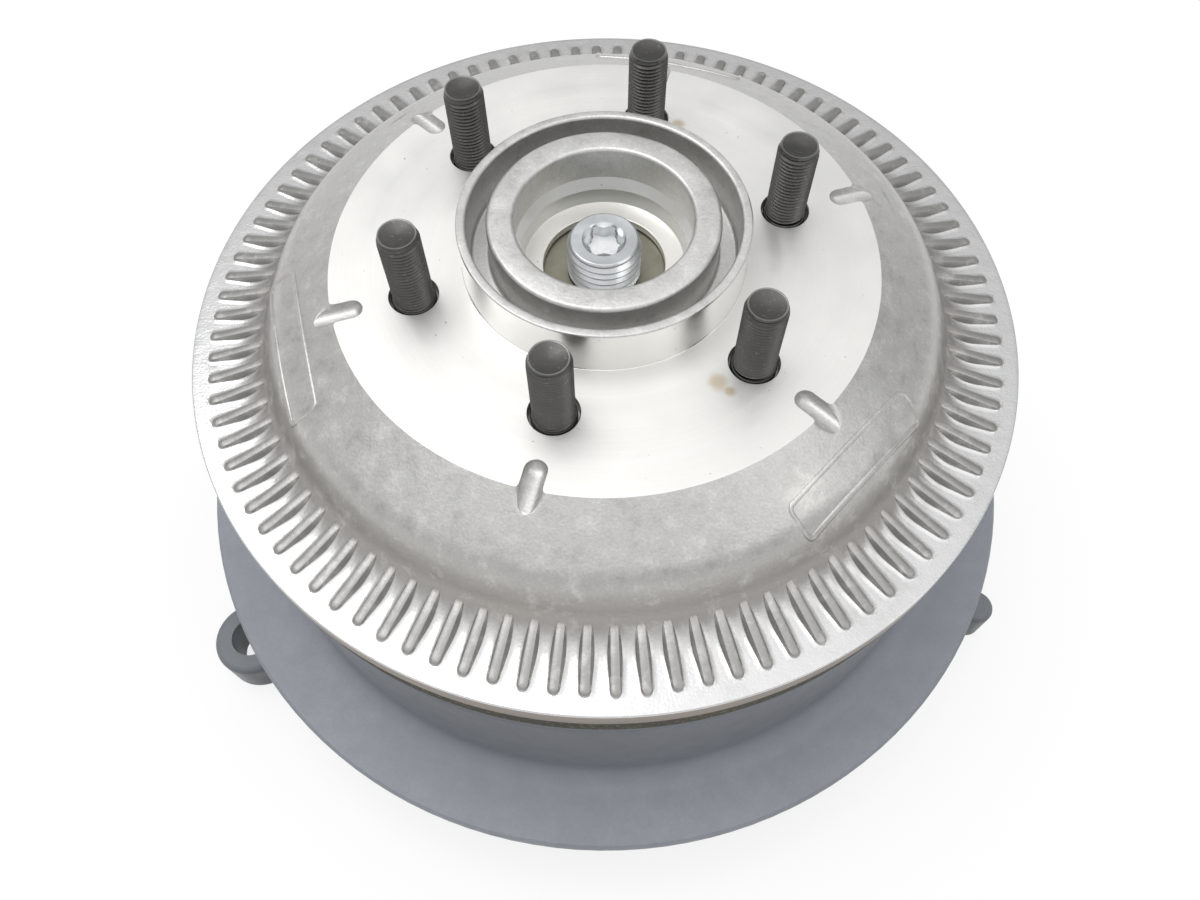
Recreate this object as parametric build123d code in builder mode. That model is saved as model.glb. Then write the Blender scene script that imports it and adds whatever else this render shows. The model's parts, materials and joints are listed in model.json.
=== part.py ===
from build123d import *
from math import asin, atan2, cos, degrees, floor, pi, radians, sin, tan
import os

# Fan clutch of a heavy diesel engine, in millimetres.
# The axis of rotation is Z. Z = 0 is the mounting face of the bracket, and the fan side points up.
# A bracket carries a fixed spindle, the belt pulley turns on it, a spring loaded piston inside
# the pulley presses a lined clutch plate on the fan disc, and the fan disc has its own bearing.

# Clearances and fits
running_gap = 0.05
seal_gap = 0.2
roller_gap = 0.03
face_gap = 2.0
edge_break = 1.0

# Mounting bracket
bracket_r = 112.0
bracket_t = 18.0
bracket_edge = 2.5
rear_pilot_r = 40.0
rear_pilot_depth = 5.0
boss_wall = 6.0
ear_x = 137.1
ear_y = 72.3
ear_r = 14.2
ear_hole_r = 7.5
arm_root_r = 24.0
arm_root_share = 0.6
finger_angle = -22.3
finger_reach = 158.0
finger_r = 6.5
pocket_inner_r = 50.0
pocket_outer_r = 100.0
pocket_depth = 11.0
pocket_corner_r = 5.0
rib_w = 12.0
rib_count = 6
air_port_angle = 120.0
air_port_r = 5.0
air_port_depth = 12.0
air_boss_r = 8.0
air_boss_reach = 6.0
air_drill_r = 2.5

# Spindle and the parts clamped on it
spindle_r = 20.0
spindle_flange_r = 30.0
spindle_flange_t = 4.0
spindle_tip = 6.0
lock_washer_t = 1.5
lock_washer_r = 29.0
lock_washer_notches = 8
spindle_nut_r = 27.0
spindle_nut_t = 12.0
spindle_nut_slots = 4
spanner_slot = 6.0
air_seal_r = 7.9
air_seal_seat = 12.0
wave_washer_t = 1.2

# Pulley bearing with its shields, snap ring and grease seal
bearing_w = 38.0
bearing_inner_wall = 8.0
bearing_outer_wall = 8.0
bearing_roller_r = 4.5
shield_t = 1.2
shield_inset = 0.6
grease_seal_t = 4.0
snap_t = 2.0
snap_depth = 2.5
snap_opening = 6.0

# Pulley
pulley_gap = 4.0
belt_flange_r = 152.0
belt_flange_t = 4.0
belt_r = 147.0
belt_pitch = 3.56
belt_groove_depth = 2.9
belt_groove_count = 5
belt_lip_h = 1.2
belt_rim_wall = 10.0
drum_wall = 8.0
drum_foot_wall = 10.0
drum_fillet = 8.0
flange_t = 8.0
web_t = 8.0
web_fillet = 6.0
vent_r = 9.0
hub_wall = 13.0
hub_lead = 2.0
hub_top_lead = 4.0
web_drop = 2.0

# Journal, bolted on the pulley hub
journal_flange_t = 10.0
journal_spigot = 1.5
journal_cavity_chamfer = 5.0
journal_r = 38.0
journal_step = 2.0
journal_neck_r = 26.0
journal_screw_r = 3.0
journal_screw_head_r = 5.0
journal_screw_head_h = 6.0
journal_screw_count = 6
journal_screw_length = 22.0

# Belleville spring, drive pins, piston and cylinder cover
clutch_travel = 1.5
stroke_margin = 0.5
spring_t = 2.8
spring_land = 2.0
pin_circle_r = 98.0
pin_r = 5.0
pin_count = 6
pin_roof = 1.0
piston_t = 8.0
skirt_gap = 4.0
skirt_wall = 8.0
chamber_h = 4.0
chamber_drill_r = 1.3
cover_t = 8.0
seal_depth = 3.5
seal_w = 4.0
cover_snap_t = 1.5
cover_snap_r = 40.0

# Clutch plate and lining
clutch_plate_t = 7.0
clutch_plate_inner_r = 90.0
lining_t = 8.3
lining_inset = 0.8
lining_gap = 0.2
plate_screw_count = 8
plate_screw_r = 2.5
plate_screw_head_r = 4.5
plate_screw_head_t = 3.5
plate_screw_bite = 11.0
lining_hole_r = 5.5

# Fan disc
rim_r = 130.0
rim_t = 8.5
rim_lip = 2.0
face_r = 81.1
face_h = 27.5
face_t = 11.5
cone_r = 96.6
cone_drop = 8.4
shoulder_r = 14.0
foot_r = 14.0
foot_h = 8.1
flank_angle = 65.0
cavity_ledge = 4.0
cavity_shoulder = 8.0
cavity_slope_h = 16.0
disc_hub_wall = 9.0
disc_hub_drop = 8.0
pilot_r = 42.0
pilot_wall = 2.9
pilot_h = 15.3
pilot_groove_depth = 13.8
inner_ring_r = 33.5
well_r = 25.5
well_depth = 20.5
well_relief = 0.7
well_cone_z = 11.6
well_cone_h = 4.1
well_cone_in = 1.1
well_floor_r = 24.3
lip_r = 18.3
lip_t = 2.3
lip_relief_r = 22.0
lip_relief_h = 2.0
soft_edge = 0.8

# Cooling fins of the fan disc
fin_count = 96
fin_phase = 1.3
fin_inner_r = 103.0
fin_outer_r = 125.1
fin_root_w = 5.0
fin_end_w = 3.1
fin_crest_w = 2.6
fin_crest_end_w = 0.8
fin_top_r = 107.2
fin_top_h = 4.5
fin_tip_r = 122.5
fin_tip_h = 1.0

# Round bottomed slots that run over the edge of the machined face, in line with the studs
slot_r = 3.2
slot_inner_r = 72.0
slot_depth = 3.0

# Fan studs
stud_circle_r = 57.15
stud_count = 6
stud_phase = -103.74
stud_r = 6.0
stud_stand = 25.9
stud_tip_r = 5.3
stud_tip_h = 2.2
stud_shank_r = 6.5
stud_seat_r = 7.1
stud_seat_depth = 4.0
stud_head_r = 9.0
stud_head_t = 5.0

# Iron friction ring under the fan disc
ring_t = 4.5
ring_inner_step = 2.0
ring_screw_inset = 5.0
ring_screw_count = 8
ring_screw_r = 2.5
ring_screw_head_r = 3.6
ring_screw_length = 14.0
countersink_angle = 82.0

# Fan bearing, its clamp ring and the centre stud with its left hand thread
nose_r = 17.5
fan_bearing_w = 20.0
fan_inner_wall = 3.0
fan_roller_r = 4.0
fan_outer_wall = 2.5
fan_shoulder = 2.5
fan_snap_t = 1.6
clamp_ring_t = 1.5
clamp_ring_r = 20.0
centre_stud_r = 11.0
centre_stud_depth = 20.0
centre_stud_stand = 13.5
centre_stud_chamfer = 1.1
socket_core_r = 5.3
socket_lobe_r = 1.5
socket_reach_r = 7.1
socket_corner_r = 0.8
socket_lobes = 6
socket_depth = 8.5

# Pulley bearing radii
bearing_inner_r = spindle_r + bearing_inner_wall
bearing_pitch_r = bearing_inner_r + bearing_roller_r
outer_race_inner_r = bearing_pitch_r + bearing_roller_r
bearing_outer_r = outer_race_inner_r + bearing_outer_wall
bearing_roller_count = floor(pi / asin(bearing_roller_r / bearing_pitch_r))
roller_inset = shield_inset + shield_t + roller_gap
boss_r = bearing_inner_r + boss_wall
hub_r = bearing_outer_r + hub_wall

# Fan bearing radii
fan_race_r = nose_r + fan_inner_wall
fan_pitch_r = fan_race_r + fan_roller_r
fan_outer_race_r = fan_pitch_r + fan_roller_r
fan_bearing_outer_r = fan_outer_race_r + fan_outer_wall
fan_roller_count = floor(pi / asin(fan_roller_r / fan_pitch_r))

# Radii of the drum and of what turns in it
drum_r = rim_r - rim_lip
drum_bore_r = drum_r - drum_wall
belt_rim_inner_r = belt_r - belt_groove_depth - belt_rim_wall
skirt_r = drum_bore_r - skirt_gap
skirt_bore_r = skirt_r - skirt_wall
journal_cavity_r = lock_washer_r + skirt_gap
journal_screw_circle_r = bearing_outer_r + hub_wall / 2
plate_screw_circle_r = skirt_r - skirt_wall / 2
cover_bore_r = journal_r - journal_step
piston_bore_r = journal_r + running_gap
spring_inner_r = hub_r + snap_depth
spring_outer_r = pin_circle_r - 2 * pin_r
lining_inner_r = clutch_plate_inner_r + face_gap
lining_outer_r = rim_r - lining_inset
ring_outer_r = drum_r - seal_gap
ring_inner_r = clutch_plate_inner_r - ring_inner_step
ring_screw_circle_r = ring_inner_r + ring_screw_inset
cavity_r = ring_inner_r - cavity_ledge

# Heights, from the bracket towards the fan
air_drill_z = rear_pilot_depth + spindle_flange_t + air_drill_r + stroke_margin
rim_low = bracket_t + pulley_gap
belt_low = rim_low + belt_lip_h
groove_top = belt_low + belt_groove_count * belt_pitch + edge_break
belt_flange_top = groove_top + belt_flange_t
hub_low = rim_low + hub_lead
seal_low = hub_low + edge_break
boss_top = seal_low + grease_seal_t + edge_break
bearing_top = boss_top + bearing_w
hub_top = bearing_top + hub_top_lead
web_top = hub_top - web_drop
web_low = web_top - web_t
nut_low = bearing_top + lock_washer_t
nut_top = nut_low + spindle_nut_t
spindle_top = nut_top + spindle_tip
air_seal_low = spindle_top - air_seal_seat
journal_flange_top = hub_top + journal_flange_t
piston_low = journal_flange_top + clutch_travel + stroke_margin
piston_top = piston_low + piston_t
piston_groove_low = piston_low + (piston_t - seal_w) / 2
journal_roof = piston_top
cover_low = piston_top + chamber_h
cover_top = cover_low + cover_t
cover_groove_low = cover_low + (cover_t - seal_w) / 2
drum_top = cover_top
plate_low = drum_top + clutch_travel + stroke_margin
plate_top = plate_low + clutch_plate_t
lining_top = plate_top + lining_t
rim_bottom = lining_top + lining_gap
ring_top = rim_bottom + ring_t
rim_top = rim_bottom + rim_t
face_z = rim_top + face_h
pilot_top = face_z + pilot_h
casting_low = face_z - face_t
well_floor = pilot_top - well_depth
lip_low = well_floor - lip_t
outer_race_top = lip_low - lip_relief_h
fan_bearing_low = outer_race_top - fan_bearing_w
fan_groove_low = fan_bearing_low - fan_snap_t
disc_hub_low = fan_bearing_low - disc_hub_drop
neck_low = cover_top + cover_snap_t + face_gap
pin_top = piston_top - pin_roof - clutch_travel - edge_break
stud_top = face_z + stud_stand
centre_stud_low = outer_race_top - centre_stud_depth
centre_stud_top = outer_race_top + clamp_ring_t + centre_stud_stand

ear_places = [(-ear_x, -ear_y), (-ear_x, ear_y), (ear_x, ear_y)]
finger_place = (finger_reach * cos(radians(finger_angle)), finger_reach * sin(radians(finger_angle)))
port_axis = Plane(
    origin=(0, 0, air_drill_z),
    x_dir=(0, 0, 1),
    z_dir=(cos(radians(air_port_angle)), sin(radians(air_port_angle)), 0),
)
port_reach = bracket_r + air_boss_reach

os.makedirs("parts", exist_ok=True)

# Mounting bracket: a painted iron casting with a spindle boss, three bolt ears and a stop finger
bracket_arms = []
for end_place, end_r, root_r in [(ear_place, ear_r, arm_root_r) for ear_place in ear_places] + [
    (finger_place, finger_r, finger_r)
]:
    with BuildSketch() as arm:
        with Locations(end_place):
            Circle(end_r)
        with Locations((end_place[0] * arm_root_share, end_place[1] * arm_root_share)):
            Circle(root_r)
        make_hull()
    bracket_arms.append(arm.sketch)

with BuildPart() as mounting_bracket:
    with BuildSketch():
        Circle(bracket_r)
        add(bracket_arms)
    extrude(amount=bracket_t)
    fillet(faces().sort_by(Axis.Z)[-1].outer_wire().edges(), radius=bracket_edge)
    with BuildSketch(Plane.XY.offset(bracket_t)):
        Circle(boss_r)
    extrude(amount=boss_top - bracket_t)
    with BuildSketch():
        Circle(pocket_outer_r)
        Circle(pocket_inner_r, mode=Mode.SUBTRACT)
        with PolarLocations(0, rib_count // 2):
            Rectangle(2 * bracket_r, rib_w, mode=Mode.SUBTRACT)
        fillet(vertices(), radius=pocket_corner_r)
    extrude(amount=pocket_depth, mode=Mode.SUBTRACT)
    with BuildSketch(port_axis.offset(boss_r)):
        Circle(air_boss_r)
    extrude(amount=port_reach - boss_r)
    with BuildSketch(port_axis.offset(port_reach)):
        Circle(air_port_r)
    extrude(amount=-air_port_depth, mode=Mode.SUBTRACT)
    with BuildSketch(port_axis):
        Circle(air_drill_r)
    extrude(amount=port_reach, mode=Mode.SUBTRACT)
    with BuildSketch():
        Circle(rear_pilot_r)
    extrude(amount=rear_pilot_depth, mode=Mode.SUBTRACT)
    with BuildSketch(Plane.XY.offset(rear_pilot_depth)):
        Circle(spindle_flange_r)
    extrude(amount=spindle_flange_t, mode=Mode.SUBTRACT)
    with BuildSketch():
        Circle(spindle_r)
        with Locations(*ear_places):
            Circle(ear_hole_r)
    extrude(amount=boss_top, mode=Mode.SUBTRACT)
mounting_bracket.part.label = "mounting_bracket"
export_step(mounting_bracket.part, "parts/mounting_bracket.step")

# Fixed spindle, pressed into the bracket from behind and drilled for the air supply
with BuildPart() as spindle:
    with BuildSketch(Plane.XZ):
        with BuildLine():
            Polyline(
                (0, rear_pilot_depth),
                (spindle_flange_r, rear_pilot_depth),
                (spindle_flange_r, rear_pilot_depth + spindle_flange_t),
                (spindle_r, rear_pilot_depth + spindle_flange_t),
                (spindle_r, spindle_top - edge_break),
                (spindle_r - edge_break, spindle_top),
                (air_seal_r, spindle_top),
                (air_seal_r, air_seal_low),
                (air_drill_r, air_seal_low),
                (air_drill_r, air_drill_z - air_drill_r),
                (0, air_drill_z - air_drill_r),
                close=True,
            )
        make_face()
    revolve(axis=Axis.Z)
    with BuildSketch(port_axis):
        Circle(air_drill_r)
    extrude(amount=spindle_flange_r, mode=Mode.SUBTRACT)
spindle.part.label = "spindle"
export_step(spindle.part, "parts/spindle.step")

# Lock washer and slotted round nut that clamp the inner race on the spindle
with BuildPart() as lock_washer:
    with BuildSketch(Plane.XY.offset(bearing_top)):
        Circle(lock_washer_r)
        Circle(spindle_r, mode=Mode.SUBTRACT)
        with PolarLocations(lock_washer_r, lock_washer_notches):
            Rectangle(face_gap, spanner_slot, mode=Mode.SUBTRACT)
    extrude(amount=lock_washer_t)
lock_washer.part.label = "lock_washer"
export_step(lock_washer.part, "parts/lock_washer.step")

with BuildPart() as spindle_nut:
    with BuildSketch(Plane.XY.offset(nut_low)):
        Circle(spindle_nut_r)
        Circle(spindle_r, mode=Mode.SUBTRACT)
        with PolarLocations(spindle_nut_r, spindle_nut_slots):
            Rectangle(spanner_slot, spanner_slot, mode=Mode.SUBTRACT)
    extrude(amount=spindle_nut_t)
spindle_nut.part.label = "spindle_nut"
export_step(spindle_nut.part, "parts/spindle_nut.step")

# Rotary air seal: a carbon tube in the spindle tip, pushed against the journal by a wave washer
with BuildPart() as air_seal_washer:
    with BuildSketch(Plane.XY.offset(air_seal_low)):
        Circle(air_seal_r - seal_gap)
        Circle(air_drill_r + seal_gap, mode=Mode.SUBTRACT)
    extrude(amount=wave_washer_t)
air_seal_washer.part.label = "air_seal_washer"
export_step(air_seal_washer.part, "parts/air_seal_washer.step")

with BuildPart() as air_seal:
    with BuildSketch(Plane.XY.offset(air_seal_low + wave_washer_t)):
        Circle(air_seal_r - running_gap)
        Circle(air_drill_r, mode=Mode.SUBTRACT)
    extrude(amount=journal_roof - seal_gap - air_seal_low - wave_washer_t)
air_seal.part.label = "air_seal"
export_step(air_seal.part, "parts/air_seal.step")

# Pulley bearing: two races, a full set of rollers and a shield at each end
with BuildPart() as pulley_bearing_inner_race:
    with BuildSketch(Plane.XY.offset(boss_top)):
        Circle(bearing_inner_r)
        Circle(spindle_r, mode=Mode.SUBTRACT)
    extrude(amount=bearing_w)
pulley_bearing_inner_race.part.label = "pulley_bearing_inner_race"
export_step(pulley_bearing_inner_race.part, "parts/pulley_bearing_inner_race.step")

with BuildPart() as pulley_bearing_rollers:
    with BuildSketch(Plane.XY.offset(boss_top + roller_inset)):
        with PolarLocations(bearing_pitch_r, bearing_roller_count):
            Circle(bearing_roller_r - roller_gap)
    extrude(amount=bearing_w - 2 * roller_inset)
pulley_bearing_rollers.part.label = "pulley_bearing_rollers"
export_step(pulley_bearing_rollers.part, "parts/pulley_bearing_rollers.step")

with BuildPart() as pulley_bearing_outer_race:
    with BuildSketch(Plane.XY.offset(boss_top)):
        Circle(bearing_outer_r)
        Circle(outer_race_inner_r, mode=Mode.SUBTRACT)
    extrude(amount=bearing_w)
pulley_bearing_outer_race.part.label = "pulley_bearing_outer_race"
export_step(pulley_bearing_outer_race.part, "parts/pulley_bearing_outer_race.step")

with BuildPart() as pulley_bearing_shields:
    for shield_low in (boss_top + shield_inset, bearing_top - shield_inset - shield_t):
        with BuildSketch(Plane.XY.offset(shield_low)):
            Circle(outer_race_inner_r)
            Circle(bearing_inner_r + seal_gap, mode=Mode.SUBTRACT)
        extrude(amount=shield_t)
pulley_bearing_shields.part.label = "pulley_bearing_shields"
export_step(pulley_bearing_shields.part, "parts/pulley_bearing_shields.step")

with BuildPart() as bearing_snap_ring:
    with BuildSketch(Plane.XY.offset(bearing_top)):
        Circle(bearing_outer_r + snap_depth)
        Circle(bearing_outer_r - snap_depth, mode=Mode.SUBTRACT)
        with Locations((bearing_outer_r, 0)):
            Rectangle(2 * snap_depth + edge_break, snap_opening, mode=Mode.SUBTRACT)
    extrude(amount=snap_t)
bearing_snap_ring.part.label = "bearing_snap_ring"
export_step(bearing_snap_ring.part, "parts/bearing_snap_ring.step")

with BuildPart() as rear_grease_seal:
    with BuildSketch(Plane.XY.offset(seal_low)):
        Circle(bearing_outer_r)
        Circle(boss_r + seal_gap, mode=Mode.SUBTRACT)
    extrude(amount=grease_seal_t)
rear_grease_seal.part.label = "rear_grease_seal"
export_step(rear_grease_seal.part, "parts/rear_grease_seal.step")

# Pulley: ribbed belt rim, flange, drum, web and hub in one painted casting
belt_profile = []
for rib in range(belt_groove_count):
    groove_edge = groove_top - edge_break - rib * belt_pitch
    belt_profile.append((belt_r, groove_edge))
    belt_profile.append((belt_r - belt_groove_depth, groove_edge - belt_pitch / 2))
with BuildPart() as pulley:
    with BuildSketch(Plane.XZ):
        with BuildLine():
            Polyline(
                (drum_bore_r, drum_top),
                (drum_r - edge_break, drum_top),
                (drum_r, drum_top - edge_break),
                (drum_r, belt_flange_top),
                (belt_flange_r - edge_break, belt_flange_top),
                (belt_flange_r, belt_flange_top - edge_break),
                (belt_flange_r, groove_top),
                (belt_r, groove_top),
                *belt_profile,
                (belt_r, belt_low),
                (belt_r, rim_low),
                (belt_rim_inner_r, rim_low),
                (belt_rim_inner_r, belt_flange_top - flange_t),
                (drum_r - drum_foot_wall, belt_flange_top - flange_t),
                (drum_r - drum_foot_wall, web_low),
                (hub_r, web_low),
                (hub_r, hub_low),
                (bearing_outer_r, hub_low),
                (bearing_outer_r, bearing_top),
                (bearing_outer_r + snap_depth, bearing_top),
                (bearing_outer_r + snap_depth, bearing_top + snap_t),
                (bearing_outer_r, bearing_top + snap_t),
                (bearing_outer_r, hub_top),
                (hub_r, hub_top),
                (hub_r, web_top),
                (drum_bore_r, web_top),
                close=True,
            )
        make_face()
    revolve(axis=Axis.Z)
    round_edges = edges().filter_by(GeomType.CIRCLE)
    drum_foot = round_edges.filter_by_position(Axis.Z, belt_flange_top, belt_flange_top).sort_by(SortBy.RADIUS)[0]
    fillet(drum_foot, radius=min(drum_fillet, belt_flange_r - drum_r - 2 * edge_break))
    web_roots = edges().filter_by(GeomType.CIRCLE).filter_by_position(Axis.Z, web_low, web_low)
    fillet(web_roots, radius=web_fillet)
    with BuildSketch(Plane.XY.offset(web_low)):
        with PolarLocations(pin_circle_r, pin_count):
            Circle(pin_r)
        with PolarLocations(pin_circle_r, pin_count, start_angle=180 / pin_count):
            Circle(vent_r)
    extrude(amount=web_t, mode=Mode.SUBTRACT)
    with BuildSketch(Plane.XY.offset(hub_top)):
        with PolarLocations(journal_screw_circle_r, journal_screw_count):
            Circle(journal_screw_r)
    extrude(amount=-journal_screw_length, mode=Mode.SUBTRACT)
pulley.part.label = "pulley"
export_step(pulley.part, "parts/pulley.step")

# Journal on the front of the pulley hub: it guides the piston, holds the cover and the fan bearing
with BuildPart() as journal:
    with BuildSketch(Plane.XZ):
        with BuildLine():
            Polyline(
                (0, journal_roof),
                (journal_cavity_r - journal_cavity_chamfer, journal_roof),
                (journal_cavity_r, journal_roof - journal_cavity_chamfer),
                (journal_cavity_r, hub_top - journal_spigot),
                (bearing_outer_r - running_gap, hub_top - journal_spigot),
                (bearing_outer_r - running_gap, hub_top),
                (hub_r, hub_top),
                (hub_r, journal_flange_top),
                (journal_r, journal_flange_top),
                (journal_r, cover_low),
                (cover_bore_r, cover_low),
                (cover_bore_r, cover_top),
                (cover_bore_r - cover_snap_t, cover_top),
                (cover_bore_r - cover_snap_t, cover_top + cover_snap_t),
                (cover_bore_r, cover_top + cover_snap_t),
                (cover_bore_r, neck_low),
                (journal_neck_r, neck_low),
                (journal_neck_r, disc_hub_low + edge_break),
                (nose_r + fan_shoulder, fan_bearing_low - edge_break),
                (nose_r + fan_shoulder, fan_bearing_low),
                (nose_r, fan_bearing_low),
                (nose_r, outer_race_top),
                (centre_stud_r, outer_race_top),
                (centre_stud_r, centre_stud_low),
                (0, centre_stud_low),
                close=True,
            )
        make_face()
    revolve(axis=Axis.Z)
    with BuildSketch(Plane.XY.offset(journal_flange_top)):
        with PolarLocations(journal_screw_circle_r, journal_screw_count):
            Circle(journal_screw_head_r + seal_gap)
    extrude(amount=-journal_screw_head_h, mode=Mode.SUBTRACT)
    with BuildSketch(Plane.XY.offset(hub_top)):
        with PolarLocations(journal_screw_circle_r, journal_screw_count):
            Circle(journal_screw_r)
    extrude(amount=journal_flange_t, mode=Mode.SUBTRACT)
    chamber_drill = Plane(origin=(0, 0, cover_low - chamber_h / 2), x_dir=(0, 0, 1), z_dir=(1, 0, 0))
    with BuildSketch(chamber_drill):
        Circle(chamber_drill_r)
    extrude(amount=journal_r, mode=Mode.SUBTRACT)
    with BuildSketch(Plane.XY.offset(journal_roof)):
        Circle(air_drill_r)
    extrude(amount=chamber_h / 2, mode=Mode.SUBTRACT)
journal.part.label = "journal"
export_step(journal.part, "parts/journal.step")

with BuildPart() as journal_screws:
    with BuildSketch(Plane.XY.offset(journal_flange_top)):
        with PolarLocations(journal_screw_circle_r, journal_screw_count):
            Circle(journal_screw_head_r)
    extrude(amount=-journal_screw_head_h)
    with BuildSketch(Plane.XY.offset(journal_flange_top - journal_screw_head_h)):
        with PolarLocations(journal_screw_circle_r, journal_screw_count):
            Circle(journal_screw_r)
    extrude(amount=-journal_screw_length)
journal_screws.part.label = "journal_screws"
export_step(journal_screws.part, "parts/journal_screws.step")

# Drive pins: pressed in the pulley web, they turn the piston and let it slide
with BuildPart() as drive_pins:
    with BuildSketch(Plane.XY.offset(web_low)):
        with PolarLocations(pin_circle_r, pin_count):
            Circle(pin_r)
    extrude(amount=pin_top - web_low)
drive_pins.part.label = "drive_pins"
export_step(drive_pins.part, "parts/drive_pins.step")

# Belleville spring that pushes the piston towards the fan
with BuildPart() as belleville_spring:
    with BuildSketch(Plane.XZ):
        with BuildLine():
            Polyline(
                (spring_outer_r, web_top),
                (spring_outer_r, web_top + spring_t),
                (spring_inner_r + spring_land, piston_low),
                (spring_inner_r, piston_low),
                (spring_inner_r, piston_low - spring_t),
                (spring_outer_r - spring_land, web_top),
                close=True,
            )
        make_face()
    revolve(axis=Axis.Z)
belleville_spring.part.label = "belleville_spring"
export_step(belleville_spring.part, "parts/belleville_spring.step")

# Cylinder cover, fixed on the journal: air between it and the piston frees the clutch
with BuildPart() as cylinder_cover:
    with BuildSketch(Plane.XZ):
        with BuildLine():
            Polyline(
                (cover_bore_r, cover_low),
                (skirt_bore_r - running_gap, cover_low),
                (skirt_bore_r - running_gap, cover_groove_low),
                (skirt_bore_r - seal_depth, cover_groove_low),
                (skirt_bore_r - seal_depth, cover_groove_low + seal_w),
                (skirt_bore_r - running_gap, cover_groove_low + seal_w),
                (skirt_bore_r - running_gap, cover_top),
                (cover_bore_r, cover_top),
                close=True,
            )
        make_face()
    revolve(axis=Axis.Z)
cylinder_cover.part.label = "cylinder_cover"
export_step(cylinder_cover.part, "parts/cylinder_cover.step")

with BuildPart() as cover_seal:
    with BuildSketch(Plane.XY.offset(cover_groove_low)):
        Circle(skirt_bore_r - seal_gap)
        Circle(skirt_bore_r - seal_depth, mode=Mode.SUBTRACT)
    extrude(amount=seal_w)
cover_seal.part.label = "cover_seal"
export_step(cover_seal.part, "parts/cover_seal.step")

with BuildPart() as cover_snap_ring:
    with BuildSketch(Plane.XY.offset(cover_top)):
        Circle(cover_snap_r)
        Circle(cover_bore_r - cover_snap_t, mode=Mode.SUBTRACT)
        with Locations((cover_bore_r, 0)):
            Rectangle(cover_snap_r - journal_neck_r, snap_opening, mode=Mode.SUBTRACT)
    extrude(amount=cover_snap_t)
cover_snap_ring.part.label = "cover_snap_ring"
export_step(cover_snap_ring.part, "parts/cover_snap_ring.step")

# Piston: a disc that slides on the journal, with a skirt round the cover
with BuildPart() as piston:
    with BuildSketch(Plane.XZ):
        with BuildLine():
            Polyline(
                (piston_bore_r, piston_low),
                (skirt_r, piston_low),
                (skirt_r, plate_low),
                (skirt_bore_r, plate_low),
                (skirt_bore_r, piston_top),
                (piston_bore_r, piston_top),
                (piston_bore_r, piston_groove_low + seal_w),
                (journal_r + seal_depth, piston_groove_low + seal_w),
                (journal_r + seal_depth, piston_groove_low),
                (piston_bore_r, piston_groove_low),
                close=True,
            )
        make_face()
    revolve(axis=Axis.Z)
    with BuildSketch(Plane.XY.offset(piston_low)):
        with PolarLocations(pin_circle_r, pin_count):
            Circle(pin_r + running_gap)
    extrude(amount=piston_t - pin_roof, mode=Mode.SUBTRACT)
    with BuildSketch(Plane.XY.offset(plate_low)):
        with PolarLocations(plate_screw_circle_r, plate_screw_count):
            Circle(plate_screw_r)
    extrude(amount=-plate_screw_bite, mode=Mode.SUBTRACT)
piston.part.label = "piston"
export_step(piston.part, "parts/piston.step")

with BuildPart() as piston_seal:
    with BuildSketch(Plane.XY.offset(piston_groove_low)):
        Circle(journal_r + seal_depth)
        Circle(journal_r + seal_gap, mode=Mode.SUBTRACT)
    extrude(amount=seal_w)
piston_seal.part.label = "piston_seal"
export_step(piston_seal.part, "parts/piston_seal.step")

# Clutch plate, the lining bonded on it and the screws that hold them on the piston skirt
with BuildPart() as clutch_plate:
    with BuildSketch(Plane.XY.offset(plate_low)):
        Circle(drum_r)
        Circle(clutch_plate_inner_r, mode=Mode.SUBTRACT)
        with PolarLocations(plate_screw_circle_r, plate_screw_count):
            Circle(plate_screw_r, mode=Mode.SUBTRACT)
    extrude(amount=clutch_plate_t)
clutch_plate.part.label = "clutch_plate"
export_step(clutch_plate.part, "parts/clutch_plate.step")

with BuildPart() as friction_lining:
    with BuildSketch(Plane.XY.offset(plate_top)):
        Circle(lining_outer_r)
        Circle(lining_inner_r, mode=Mode.SUBTRACT)
        with PolarLocations(plate_screw_circle_r, plate_screw_count):
            Circle(lining_hole_r, mode=Mode.SUBTRACT)
    extrude(amount=lining_t)
friction_lining.part.label = "friction_lining"
export_step(friction_lining.part, "parts/friction_lining.step")

with BuildPart() as plate_screws:
    with BuildSketch(Plane.XY.offset(plate_top)):
        with PolarLocations(plate_screw_circle_r, plate_screw_count):
            Circle(plate_screw_head_r)
    extrude(amount=plate_screw_head_t)
    with BuildSketch(Plane.XY.offset(plate_top)):
        with PolarLocations(plate_screw_circle_r, plate_screw_count):
            Circle(plate_screw_r)
    extrude(amount=-clutch_plate_t - plate_screw_bite)
plate_screws.part.label = "plate_screws"
export_step(plate_screws.part, "parts/plate_screws.step")

# One cooling fin: a drafted rib that narrows outwards, with a top that slopes down to a rounded tip
fin_nose_r = fin_outer_r - fin_tip_r
with BuildPart() as fin_form:
    for level, root_w, end_w in ((-edge_break, fin_root_w, fin_end_w), (fin_top_h, fin_crest_w, fin_crest_end_w)):
        with BuildSketch(Plane.XY.offset(rim_top + level)):
            with Locations((fin_inner_r + fin_root_w / 2, 0)):
                Circle(root_w / 2)
            with Locations((fin_outer_r - fin_end_w / 2, 0)):
                Circle(end_w / 2)
            make_hull()
    loft(ruled=True)
    with BuildSketch(Plane.XZ):
        with BuildLine():
            Polyline(
                (fin_outer_r, rim_top),
                (fin_outer_r, rim_top - face_gap),
                (fin_inner_r, rim_top - face_gap),
                (fin_inner_r, rim_top + fin_top_h),
                (fin_top_r, rim_top + fin_top_h),
                (fin_tip_r, rim_top + fin_tip_h),
            )
            EllipticalCenterArc((fin_tip_r, rim_top), fin_nose_r, fin_tip_h)
        make_face()
    extrude(amount=fin_root_w, both=True, mode=Mode.INTERSECT)

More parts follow.
